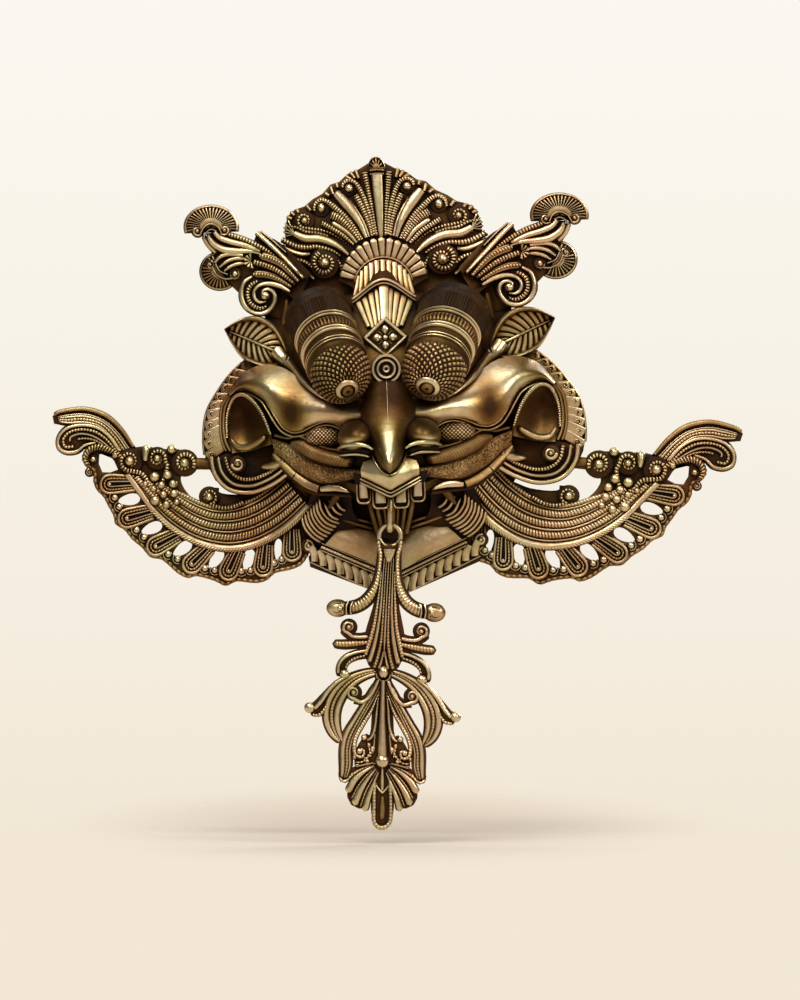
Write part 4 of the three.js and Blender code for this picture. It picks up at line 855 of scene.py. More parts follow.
def cheek_curls():
    shelf = plate([(69, -122), (86, -126), (110, -128), (123, -133), (118, -148), (109, -155), (96, -156.5), (82, -151),
                   (70, -148), (62, -140)], 0, 10, crest=0.2, polish=0.3)
    lines = [([(113, -131, 13), (110.6, -139.8, 13), (104.4, -145.6, 13), (95, -147, 15), (82, -142.4, 20),
               (70, -134, 28)], 3.4, PITCH, 0.5),
             ([(118, -131, 12), (115.4, -141.8, 12), (108, -149.4, 12), (96, -151.2, 14), (82.4, -146.8, 19),
               (69, -138, 27)], 3.2, 0, 0.75),
             ([(123, -130, 10), (120, -143, 10), (111.6, -152.6, 10), (97, -155.6, 12), (82, -151, 17),
               (68, -142.4, 25)], 3.8, 0, 0.6)]
    ribs = [strand(path, width, 3, mill=mill, head=1.5, polish=polish, bury=3) for path, width, mill, polish in lines]
    roll = curl((104.6, -136.4, 16), 5.4, 10, -1.1, width=2.8, rise=4)
    lobe = strand([(70, -134, 30), (80, -138.4, 22), (88, -139, 17)], [5, 7, 3], 4, head=2, tail=2.5, polish=0.5,
                  sides=8, shade=0.85)
    return both(shelf, ribs, roll, lobe)


def hatched(centre, radii, pitch):
    """A lens of raised diamonds."""
    u = np.linspace(-1, 1, 44)
    a, b = np.meshgrid(u, u, indexing="ij")
    half = np.sqrt(np.clip(1 - a ** 2, 0, 1))
    x, z = a * radii[0], b * half * radii[1]
    one, two = [np.abs((((x * k + z) / pitch) % 1) - 0.5) * 2 for k in (1, -1)]
    raised = np.clip(np.minimum(1 - one, 1 - two) * 2.4, 0, 1)
    d = centre[2] + radii[2] * np.sqrt(np.clip(1 - a ** 2 - (b * half) ** 2, 0, 1)) + raised * 0.9
    top = np.stack([centre[0] + x, centre[1] + z, d], -1)
    return relief(top, floor=centre[2] - 8, crest=0.15 + 0.85 * raised)


def stippled(rows, seed):
    """A band with the grain of a punched ground."""
    grid = skin(rows, 26, 110)
    noise = np.random.default_rng(seed).random(grid.shape[:2])
    edge = np.minimum(np.arange(26), np.arange(26)[::-1]) / 3
    grain = noise * np.clip(edge, 0, 1)[:, None]
    grid[..., 2] += grain * 1.1
    return relief(grid, floor=12, crest=0.56 + 0.5 * grain, polish=0.1)


def muzzle():
    body = ball((0, -134, 36), (44, 23, 36), rows=20, columns=40, crest=0.2, polish=0.1)
    upper = [(80, -120.4, 33), (75.2, -122, 36), (65.5, -126.4, 42), (56.6, -134.2, 48.6), (43.8, -138.6, 56),
             (30.4, -142, 65), (20, -143.6, 71)]
    lower = [(79, -130.4, 27), (75.6, -132.8, 28.4), (63.1, -144, 35), (48.8, -151, 45), (42, -152, 50),
             (30.8, -150.6, 58), (20, -148.6, 65)]
    middle = [tuple((np.array(a) + b) / 2 + (0, 0, 3.4)) for a, b in zip(upper, lower)]
    band = stippled([upper, middle, lower], 7)
    slug = strand([(66.6, -123.6, 42), (60, -126, 48), (51.6, -130.8, 55), (41.4, -134.6, 62), (33, -136.6, 67),
                   (25, -138, 71)], [3.4, 9.6, 9.8, 9.2, 9, 7.6], [2.6, 5, 5.6, 5.6, 5.2, 4], mill=2.1, cut=0.07,
                  dim=0.16, slant=0.35, head=3, tail=2, polish=0.15, sides=10, shade=0.76, bury=1.6)
    over = strand([(78, -118.4, 38), (69, -120.4, 43), (61, -119.6, 48), (53, -124, 53), (42, -128.6, 60),
                   (33, -130.4, 66), (26, -133, 71)], 2, 1.2, polish=0.2, bury=2, shade=0.6)
    edge = [strand([(80, -129.6, 26), (76, -134.6, 28), (71, -139.8, 31), (65.2, -145.6, 34.6)], [3, 4.4, 5, 5.2], 1.9,
                   head=1, flat=0.5, polish=0.3, bury=4, sides=9, shade=0.8),
            strand([(64.6, -146, 34.8), (57, -151.4, 39), (48.4, -155.4, 44.6)], [5.2, 5.6, 5.2], 1.9, flat=0.5,
                   polish=0.35, bury=4, sides=9, shade=0.85),
            strand([(47.8, -155.4, 45.2), (41, -154.6, 49.6), (35, -155, 53), (27, -157.8, 56.6)], [3.4, 5, 4.6, 1.8],
                   2.4, head=0.6, tail=1, flat=0.7, polish=0.7, bury=3, sides=9)]
    under = strand([(80, -133, 24), (68, -146, 29), (54, -156.6, 36), (40, -158.6, 44), (26, -160, 52)], 3, 2,
                   polish=0.1, bury=4, shade=0.3)
    lens = hatched((42.5, -120.8, 53), (13.8, 7.6, 7), 2.6)
    ring = [strand([(56 + o, -118.4 + o, 51), (50, -114.8 + o, 53.5), (43, -113 + o, 56), (36, -114.2 + o, 58),
                    (30 - o, -118, 60)], 1.6, 1.8, polish=0.4, shade=0.85) for o in (0, 2)]
    return [body, both(band, slug, over, edge, under, lens, ring)]


NOSE = [(-82, 3, 55, 3), (-86, 9.4, 60, 6), (-92, 13.8, 66, 9), (-100, 16.9, 75, 9), (-107, 18.2, 82, 11),
        (-113, 17.8, 88, 15), (-120, 15.4, 95, 22), (-128, 12, 102, 29), (-135, 10, 107.4, 32),
        (-140.4, 7.4, 109.6, 32), (-144.4, 4.6, 108, 28), (-146.6, 1.8, 104.4, 24)]


def nose():
    s = np.sin(np.linspace(-math.pi / 2, math.pi / 2, 37))
    z, half, depth, drop = resampled(smooth(np.array(NOSE, float)), 56).T
    x = half[:, None] * s
    up = z[:, None] + np.abs(s) * 1.5
    d = depth[:, None] - drop[:, None] * (1 - np.sqrt(np.clip(1 - s ** 2, 0, 1)))
    # Painted highlight: a bright streak down the middle toward the tip, and a weaker painted light on one side of the
    # bridge
    painted_highlight = patch(x, up, (0, -126), (4.6, 15)) + 0.2 * patch(x, up, (-9, -97), (5, 7))
    bridge = relief(np.stack([x, up, d], -1), floor=30, crest=np.clip(0.28 + 0.85 * painted_highlight, 0, 1.1), polish=0.8)
    ridge = strand([(0, -84, 57.4), (0, -92, 65.6), (0, -100, 74.6), (0, -108, 82.6), (0, -115, 89.4)],
                   [0.8, 1.3, 1.4, 1.3, 0.6], 0.9, polish=0.8, step=1.2)
    tip = strand([(12.6, -128, 78), (11.2, -134, 82), (8.8, -140, 86), (5.4, -144.8, 90), (2.4, -147, 93),
                  (0, -147.8, 94)], 1.5, 1.8, polish=0.7, step=1, bury=3)
    flare = ball((20.8, -121.6, 66), (13.4, 11.6, 27), rows=22, columns=32, polish=0.75)
    # Painted reflection: a bright band across each flare just above its rim, darker above it
    high = flare.places[:, 1]
    flare.crest = 0.26 + 0.74 * np.exp(-((high + 125.4) / 4.2) ** 2)
    # The middle one of these strands is painted near black: painted shade for the nostril slit under the rim
    rims = [strand([(33, -128.4, 74), (28.6, -126.9, 83), (21.4, -126.6, 91), (14.6, -128, 93), (10.4, -130.4, 92)],
                   [1.6, 3, 3.6, 3, 1.6], 2.6, polish=0.8, head=1, tail=1, sides=9, step=1.0, bury=5, flat=0.8),
            strand([(32.8, -131.2, 72), (27, -130, 80), (21, -129.8, 85), (13, -132, 88)], [2, 3, 3.2, 2.4], 0.5,
                   polish=0.0, head=1, tail=1, step=1.0, shade=0.04, bury=4),
            strand([(32.4, -133.4, 70), (26.4, -132.8, 77), (20, -133, 82), (12.6, -135, 85)], [1.6, 2.6, 2.6, 1.6],
                   2.2, polish=0.8, head=1, tail=1, sides=8, step=1.0, bury=4)]
    return [bridge, ridge, both(tip, flare, rims)]


def tooth(x0, x1, top, low, depth):
    """A tooth: a bright block inside a raised outline, on a dark ground."""
    middle, lift = (x0 + x1) / 2, low + 0.6
    rim = [(x0 + 0.8, top, depth), (x0 + 1, low + 2.6, depth), (x0 + 2.2, lift, depth), (middle, low + 0.2, depth),
           (x1 - 2.2, lift, depth), (x1 - 1, low + 2.6, depth), (x1 - 0.8, top, depth)]
    block = strand([(middle, top, depth), (middle, low + 2.1, depth)], (x1 - x0) - 4.2, 3.2, flat=0.4, tail=1,
                   polish=0.95, bury=1.2, sides=8)
    ground = plate([(x0, top), (x1, top), (x1, low + 1.4), (x1 - 1.4, low), (x0 + 1.4, low), (x0, low + 1.4)], 50,
                   depth - 0.2, crest=0.35)
    return [strand(rim, 1.7, 2.1, polish=0.5, bury=1.4, step=0.8, sides=7), block, ground]


def mouth():
    round_tip = 1.4

    def vee(x, low, depth):
        return whole((0, low - x * 0.52 + 0.3, depth), (round_tip, low - (x - round_tip) * 0.52, depth),
                      (x / 2, low - (x / 2) * 0.52, depth - 2), (x, low, depth - 7))

    lip = relief(skin([whole((0, -134, 86), (17.6, -138.4, 79)), whole((0, -148, 90), (19.4, -144, 80)),
                       vee(19, -148, 86)], 14, 34), floor=46, crest=0.95, polish=0.65)
    edge = [strand(vee(20, low, 85), 1.9, 2.2, polish=0.5, bury=3, head=1, tail=1, step=1) for low in (-149.4, -151.6)]
    gum = plate([(-25, -146), (25, -146), (21, -160), (0, -166), (-21, -160)], 44, 72, crest=0.1, polish=0.1)
    teeth = [tooth(12.6, 23, -153, -165.6, 77), tooth(0.9, 12.4, -156.4, -169.4, 77.6)]
    nib = strand([(0, -164, 78), (0, -168.4, 78.4), (0, -172, 77)], [3, 2.6, 1], 2, tail=1, polish=0.6)
    tusk = strand([(34.6, -157.4, 46), (37.6, -161.6, 44), (42.4, -168.4, 39)], [5.6, 5, 1.6], 2.4, tail=1, head=2,
                  polish=0.2, sides=9, bury=3, shade=0.5)
    return [lip, edge, gum, nib, both(teeth, tusk)]


def hook():
    radius = HOOK_WIRE / 2
    front = RING["depth"] + RING["wire"] / 2 + FIT_GAP + radius
    back = RING["depth"] - RING["wire"] / 2 - FIT_GAP - radius
    low = RING["radius"] - RING["wire"] / 2 - FIT_GAP - radius
    bend = (front - back) / 2
    turn = [(0, low + bend * (1 - math.sin(a)), RING["depth"] + bend * math.cos(a)) for a in np.linspace(0, math.pi, 9)]
    line = np.array([(0, 26, front + 1), (0, 16, front), *turn, (0, low + bend + 3, back)]) + (*DROP_AT, 0)
    return round_wire(even(line, 60), radius)


def round_wire(path, radius, closed=False):
    sides, polish = 14, 0.8
    tangent = np.roll(path, -1, axis=0) - np.roll(path, 1, axis=0) if closed else np.gradient(path, axis=0)
    tangent /= np.linalg.norm(tangent, axis=1)[:, None]
    side = np.array([1.0, 0, 0]) if np.ptp(path[:, 0]) < 1 else np.array([0, 0, 1.0])
    other = np.cross(tangent, side)
    phi = np.linspace(0, 2 * math.pi, sides, endpoint=False)
    rings = path[:, None, :] + radius * (np.cos(phi)[None, :, None] * side + np.sin(phi)[None, :, None] * other[:, None,
                                                                                                                :])
    if not closed:
        return closed_tube(rings, 1.0, polish)
    rings = np.vstack([rings, rings[:1]])
    faces = grid_faces(len(rings), sides, True) % (len(path) * sides)
    return Shape(rings[:-1].reshape(-1, 3), faces, [], 1.0, polish)


# Chin
def chin():
    panel = relief(skin([whole((0, -186, 13), (14, -184.4, 14), (33, -179.6, 13)),
                         whole((0, -198, 17), (41, -187.4, 15)),
                         whole((0, -212, 15), (22, -202.4, 15), (45.6, -192, 13))], 20, 40), crest=0.86, polish=0.6)
    bed = plate([(56, -176), (48, -192), (0, -214.5), (-48, -192), (-56, -176), (-52, -150), *hollow_edge(227, 313),
                 (52, -150)], 0, 11, crest=0.15, polish=0.2)
    bars = [strand([(33, -172.6 - o, 19 - o / 3), (24, -175.8 - o, 18 - o / 3), (13, -179 - o, 17 - o / 3)], 2.6, 2.4,
                   polish=0.3, shade=0.7, bury=2) for o in (0, 3.4)]
    moulding = [strand([(48.4, middle + 0.455 * 48.4, 11), (24, middle + 0.455 * 24, 12), (0, middle, 12.6)], w, h,
                       polish=0.6, bury=2, mill=mill, cut=0.1, dim=0.3, slant=0.4)
                for middle, w, h, mill in ((-213.3, 1.2, 2, 0), (-215.7, 2.9, 2.6, 1.6), (-218.2, 1.2, 1.8, 0))]
    border = []
    for i in range(9):
        x = 54.6 - 5.9 * i
        top, low = 0.47 * x - 219, 0.53 * x - 231.6
        middle = (top + low) / 2
        border.append(strand([(x + 1.2, top + 0.2, 9), (x - 0.2, middle + 2, 9), (x - 1.2, middle - 1.6, 8.4),
                              (x - 1.2, low + 0.2, 6.8)], [5.3, 5.5, 5.7, 5.7], 1.9, flat=0.6, polish=0.6, bury=2.6,
                             step=1, sides=9))
    edge = strand([(57, -203.6, 5.6), (28, -217.4, 6), (0, -229.6, 6)], 1.6, 2, polish=0.4)
    base = plate([(0, -212), (46, -190), (58, -200), (57, -207), (0, -230.4), (-57, -207), (-58, -200), (-46, -190)], 0,
                 6.6, crest=0.15)
    tongue = [strand([(x * 1.1, -160, 28), (x, -170, 29), (x * 0.7, -186, 24)], w, 2.6, polish=0.2, bury=2, shade=0.6)
              for x, w in ((-13.4, 3.6), (-9, 3.4), (9, 3.4), (13.4, 3.6), (0, 7), (-4.6, 2.6), (4.6, 2.6))]
    body = plate(whole((0, -191), (9, -187), (14.4, -172), (15, -165)), 0, 27, crest=0.12)
    beard = comb([[(62.4, -174.4, 17), (58.7, -170.6, 20), (54.7, -166.6, 23), (51.2, -163.4, 26), (47.4, -159.6, 29)],
                  [(60.6, -181, 15.6), (57.2, -177.4, 18.6), (53.6, -173.6, 21.6), (50.4, -170.4, 24.6),
                   (46.8, -166.6, 27)],
                  [(55.4, -187.6, 13), (52.6, -184.4, 16), (49.2, -181, 19), (46.2, -178, 21.6), (42, -173.8, 24)],
                  [(49.4, -191.6, 11), (45.8, -189, 14), (42.4, -186, 16), (39, -182.6, 18.4), (34, -177.4, 21)]], 7,
                 height=0.7, fill=0.95, head=1.2, tail=1.4, polish=0.45, bury=2.4, sides=8)
    small = [strand(path, [1.6, 2.5, 2.2], 2, head=1, tail=1.2, polish=0.5, bury=2.4, sides=8)
             for path in ([(45.4, -164.6, 31), (41, -173, 27), (35.4, -176, 24)],
                          [(42, -162.6, 33), (38, -170, 29), (33, -173, 26)],
                          [(38, -162, 34), (35, -167.4, 31), (30.6, -170.4, 28)])]
    jowl = relief(skin([[(26, -158, 30), (40, -157, 27), (54, -158, 23)],
                        [(26, -170, 26), (44, -171, 22), (60, -176, 13)],
                        [(20, -180, 17), (36, -185, 13), (51, -193, 8)]], 12, 14), crest=0.12, polish=0.1)
    roll = curl((57.6, -192.6, 9), 4.8, 60, 1.3)
    return [panel, bed, base, body, tongue, both(bars, moulding, border, edge, beard, small, jowl, roll)]


# Wings
FEATHERS = [((191.3, -157.5), (172, -155.5)), ((177.5, -180.5), (159, -174)), ((156.5, -198.5), (140, -188.5)),
            ((130.7, -209.5), (118.3, -195.5)), ((104.5, -213), (98.2, -196.5)), ((80.4, -209), (79.7, -191.5)),
            ((61, -197.5), (62.3, -180))]
FEATHER_HALF = 6.6
FEATHER_REACH = 4.2
# The stretch of a wing's margin, by places along it, that has the milled rim
RIM_RUN = slice(26, 142, 2)


def feather(tip, root):
    tip, root = np.array(tip), np.array(root)
    along = (tip - root) / np.linalg.norm(tip - root)
    side = np.array([-along[1], along[0]])
    tip = tip + along * FEATHER_REACH
    shapes = []
    for k, (half, wide, mill) in enumerate(((6, 2.5, 0), (3.7, 2, PITCH), (1.6, 1.8, 0))):
        middle = tip - along * (FEATHER_HALF + 0.2 * k)
        turn = [middle + half * (side * math.cos(a) + along * math.sin(a)) for a in np.linspace(0, math.pi, 9)]
        line = [root + side * half * 0.78, *turn, root - side * half * 0.78]
        shapes.append(strand([(*p, 6.2 + 0.5 * k) for p in line], wide, 1.9, mill=mill, cut=0.2,
                             polish=0.55 if k else 0.4, step=1.1, bury=1.2))
    shapes.append(ball((*(tip - along * FEATHER_HALF), 7.2), (1.5, 1.5, 2.2), rows=6, columns=10, polish=0.7))
    outline = [root + side * 5.6, *[tip - along * 6 + 7.2 * (side * math.cos(a) + along * math.sin(a))
               for a in np.linspace(0.1, math.pi - 0.1, 9)], root - side * 5.6]
    shapes.append(plate(outline, 0, 6, crest=0.15))
    return shapes


def web_holes():
    holes = []
    for i in range(len(FEATHERS) - 1):
        (tip, root), (tip2, root2) = FEATHERS[i], FEATHERS[i + 1]
        centre = (np.array(tip) + root + tip2 + root2) / 4
        way = np.array(tip) - root + np.array(tip2) - root2
        way = way / np.linalg.norm(way)
        side = np.array([-way[1], way[0]])
        slim = 2.6 if i == 5 else 3.8
        holes.append([centre + way * 7.6 * math.cos(a) + side * slim * math.sin(a) * (1 - 0.25 * math.cos(a))
                      for a in np.linspace(0, 2 * math.pi, 16, endpoint=False)])
    holes.append([(197.5, -137.5), (191, -137), (187, -141.5), (184, -147), (189, -149.2), (194.5, -149.5),
                  (197.4, -144)])
    return holes


WING_EDGE = [(134, -134), (140, -131), (157, -131), (165.5, -130), (175, -131.5), (190, -134.5), (197, -131),
             (204, -133), (208.5, -139), (206.5, -146), (201, -149.4), (200.2, -156), (197.6, -161.6), (192.6, -166.2),
             (189.4, -171.4), (184.8, -178.8), (183.2, -184), (176.8, -187.6), (171.4, -193.4), (164, -198.8),
             (157.6, -205), (150.2, -206), (143.6, -210.6), (138.4, -214.6), (131, -217.4), (126, -215.8),
             (112.2, -218.4), (105, -221), (98, -217.6), (89.8, -217.8), (82.8, -217.6), (76.6, -215), (72, -210.4),
             (64, -208), (54.3, -203.5), (48, -190), (48, -168), (60, -152), (82, -154), (95, -158), (112, -158.5),
             (117, -156), (124, -157), (127, -166), (133, -162), (139, -155), (140.5, -149), (133, -145), (130, -140)]
SWEEP_IN = [(150, -157), (134, -162), (122, -166), (111.2, -167), (95.5, -162), (82, -153), (72, -144)]
SWEEP_OUT = [(181, -148), (170, -161.5), (159, -175), (144.5, -186.5), (127, -195), (107, -198.5), (89.5, -195.5),
             (74.5, -188), (62, -178), (50, -165)]


def wing_depth(x):
    """The wing's strands climb as they near the muzzle."""
    return 7 + 13 * max(0.0, (84 - x) / 40) ** 1.5


def wings():
    margin = smooth(deep([*WING_EDGE, WING_EDGE[0]]), fine=4)[:-1, :2]
    web = plate(margin, 0, WEB, holes=web_holes(), round_edge=1.6, crest=0.38, polish=0.25)
    rim = strand([(x, z, WEB - 0.4) for x, z in inset(margin, 1.3)[RIM_RUN]], 3, 1.7, mill=PITCH * 1.9, cut=0.4,
                 polish=0.5, shade=0.8)
    sweep_in, sweep_out = [[(x, z, wing_depth(x)) for x, z in rail] for rail in (SWEEP_IN, SWEEP_OUT)]
    ribs = reeds(sweep_in, sweep_out, "mtbtbtbtw", fill=1.0, count=44, slant=0.25, bury=1.8, head=1, polish=0.6,
                 cut=0.22, dim=0.42)
    hatch = reeds([(x, z, wing_depth(x) + 1.4) for x, z in SWEEP_OUT[2:]],
                  [(x - 0.4, z + 3.4, wing_depth(x) + 1.6) for x, z in SWEEP_OUT[2:]], "m", height=0.4, slant=1.0,
                  cut=0.42, polish=0.7)
    ground = relief(skin([[(140, -166, 4.8), (118, -170, 5.4), (96, -166, 6), (80, -156, 8), (72, -150, 10)],
                          [(152, -178, 4.8), (127, -192, 5.2), (107, -195, 5.6), (82, -186, 7.6), (64, -172, 10)]], 8,
                         24), crest=0.15, polish=0.2)
    plume_rim = strand([(230.4, -113.4, 5), (228.6, -111.4, 5.2), (221, -109, 5.6), (208, -107.4, 6),
                        (194, -111.2, 6.4), (183.4, -119.6, 6.6), (174.4, -131, 7)], [2.6, 3, 3.2, 3.4, 3.4, 3, 2.4], 2,
                       polish=0.35, bury=2.4, head=1.5, shade=0.8)
    plume_top = reeds([(228, -113.8, 5.4), (219.6, -111.6, 6), (207.6, -110.6, 6.4), (195, -114.2, 6.8),
                       (185.4, -121.6, 7), (177, -131.8, 7.4)],
                      [(226.4, -117.6, 5.4), (219, -118.4, 6), (210, -117.4, 6.4), (199.6, -118.8, 6.8),
                       (190.6, -126, 7.2), (184, -134.6, 7.4)], "tpmp", height=0.6, fill=1.0, head=1.4, polish=0.6,
                      bury=2.4)
    plume_base = relief(skin([[(231.2, -113.6, 4.2), (221, -108.4, 4.4), (208, -106.8, 4.6), (194, -110.4, 5),
                               (183, -119, 5.4), (173, -131, 5.4)],
                              [(229.8, -118.8, 4.2), (219, -120, 4.4), (210, -118.4, 4.6), (199, -119.6, 5),
                               (190, -127, 5.4), (185, -136, 5.4)]], 6, 26), crest=0.2, polish=0.3)
    lobe_lines = [([(184, -134.4, 6.6), (191.4, -125, 6.6), (200, -119.6, 6.4), (211, -118.6, 6.2), (221, -121.6, 5.8),
                    (226, -128, 5.2), (225.4, -134.4, 5.2), (220.4, -137.4, 5.2), (213, -136.4, 5.4),
                    (207.4, -132, 5.8), (199.4, -129.6, 6.2)], 2.8, 0, 0.55),
                  ([(186.4, -134.2, 7), (193.4, -127, 7), (201.6, -122.4, 6.8), (211.4, -121.6, 6.6),
                    (218.8, -124, 6.2), (222.6, -129, 5.8), (221, -133.8, 5.8), (214.6, -133.2, 6)], 2.4, PITCH, 0.5),
                  ([(189, -134, 7.2), (196, -128.6, 7), (204, -125, 6.8), (212, -124.6, 6.6), (218, -127.6, 6.2),
                    (217.6, -130.8, 6)], 2.3, 0, 0.6),
                  ([(193, -132.4, 7), (200, -128.6, 7), (207, -127.4, 6.8), (213.4, -128.2, 6.4)], 2.2, PITCH, 0.55)]
    lobe = [strand(path, width, 2, mill=mill, polish=polish, tail=1, bury=1.8, step=1)
            for path, width, mill, polish in lobe_lines]
    lobe_base = plate(smooth(deep([(184, -135.6), (191, -122.8), (200, -117.4), (212, -116.4), (222.8, -120.2),
                                   (227.8, -128.2), (226.6, -136), (220.4, -139.6), (212, -138.4), (206, -133.6),
                                   (197.6, -132.2)])), 0, 5.4, crest=0.25)
    hooked = curl((201.2, -141, 6.4), 3.2, 20, -0.6, width=1.4, seed=0.7)
    hook_strand = strand([(181, -139.4, 7), (185.6, -136, 7), (191, -134, 7), (198, -132.6, 7), (204.2, -135.2, 6.8),
                          (206.6, -141, 6.4), (204, -146.2, 6.2)], [3.6, 4.6, 5.2, 5.4, 5.6, 5.4, 3.6],
                         3, mill=2.0, cut=0.4, slant=0.35, tail=2, polish=0.6)
    scrolls = [
        curl((176.2, -140.8, 8), 8.6, -100, 1.15, width=4.2, mill=1, rise=4.6, seed=0.42,
             lead=[(153.6, -167, 7.4), (160.4, -158, 7.6), (167, -149, 7.8), (172.4, -147.6, 8)]),
        curl((157.5, -137.8, 8), 7.6, -170, -1.15, width=3.8, mill=1, rise=4.6, seed=0.36,
             lead=[(159.6, -161, 7), (154.6, -156, 7.4), (151.4, -149, 7.6), (150.4, -142, 7.8)]),
        curl((138.6, -139.7, 7.6), 9, -150, -1.1, width=4.2, mill=1, rise=4.6, seed=0.4),
        curl((120.3, -161.5, 7.4), 6.8, 250, -1.05, width=3.4, mill=1, rise=4.4, seed=0.48,
             lead=[(96, -163.4, 9.4), (104, -167.4, 8.4), (112, -168.4, 7.8)]),
        curl((203.2, -150, 6), 3, 100, -1, width=1.4, rise=2.8),
    ]
    knobs = [strand([(165.4, -140.6, 7.4), (165.6, -135.6, 8), (165.5, -129, 7)], [3.4, 5.4, 6.8], 4.4, head=1,
                    tail=3.2, polish=0.8, sides=9), ball((148, -131, 7), (3.4, 3.4, 4.2), polish=0.8),
             ball((186.4, -137.2, 6.6), (2.6, 2.6, 3))]
    grapes = [ball((x, z, 7.6), (r, r, 3.8), polish=0.55)
              for x, z, r in ((158.4, -150.4, 3.8), (149.8, -148.6, 3.5), (145.6, -154.4, 3.3), (153.4, -155.6, 3.2),
                              (158.6, -158.4, 2.6), (144.4, -160.8, 3.3), (151.6, -162, 3.2), (157, -166.4, 3.8),
                              (149.2, -168.6, 3.2), (164.4, -155.4, 2.4), (142.2, -166.4, 2.6))]
    edges = []
    for i in range(len(FEATHERS) - 1):
        a, root, b = [np.array(p) for p in (*FEATHERS[i], FEATHERS[i + 1][0])]
        out = (a - root) / np.linalg.norm(a - root)
        turn = math.atan2(out[1], out[0])
        for t, size in ((0.38, 2.7), (0.64, 2.5)):
            p = a + (b - a) * t - out * 1.2
            edges.append(ball((*p, 6), (size, size, 2.4), rows=6, columns=12, polish=0.7))
            edges.append(strand([(*(p + size * 1.3 * np.array([math.cos(v), math.sin(v)])), 5.6)
                                 for v in np.linspace(turn - 1.4, turn + 1.4, 9)], 1.3, 1.7, polish=0.6, step=1))
    bars = [plate([(119, -143), (136, -144), (136, -136), (119, -135)], 0, 6, crest=0.45),
            strand([(121, -139.4, 6), (127, -138.8, 6.4), (134, -139.6, 6.2)], [7.4, 6.4, 6.6], 2, polish=0.2, bury=2,
                   shade=0.55), plate([(114, -161), (122, -161), (122, -155), (114, -155)], 0, 5)]
    return [web, rim, ribs, hatch, ground, plume_rim, plume_top, plume_base, lobe, lobe_base, hooked, hook_strand,
            scrolls, knobs, grapes, edges, bars, [feather(tip, root) for tip, root in FEATHERS]]


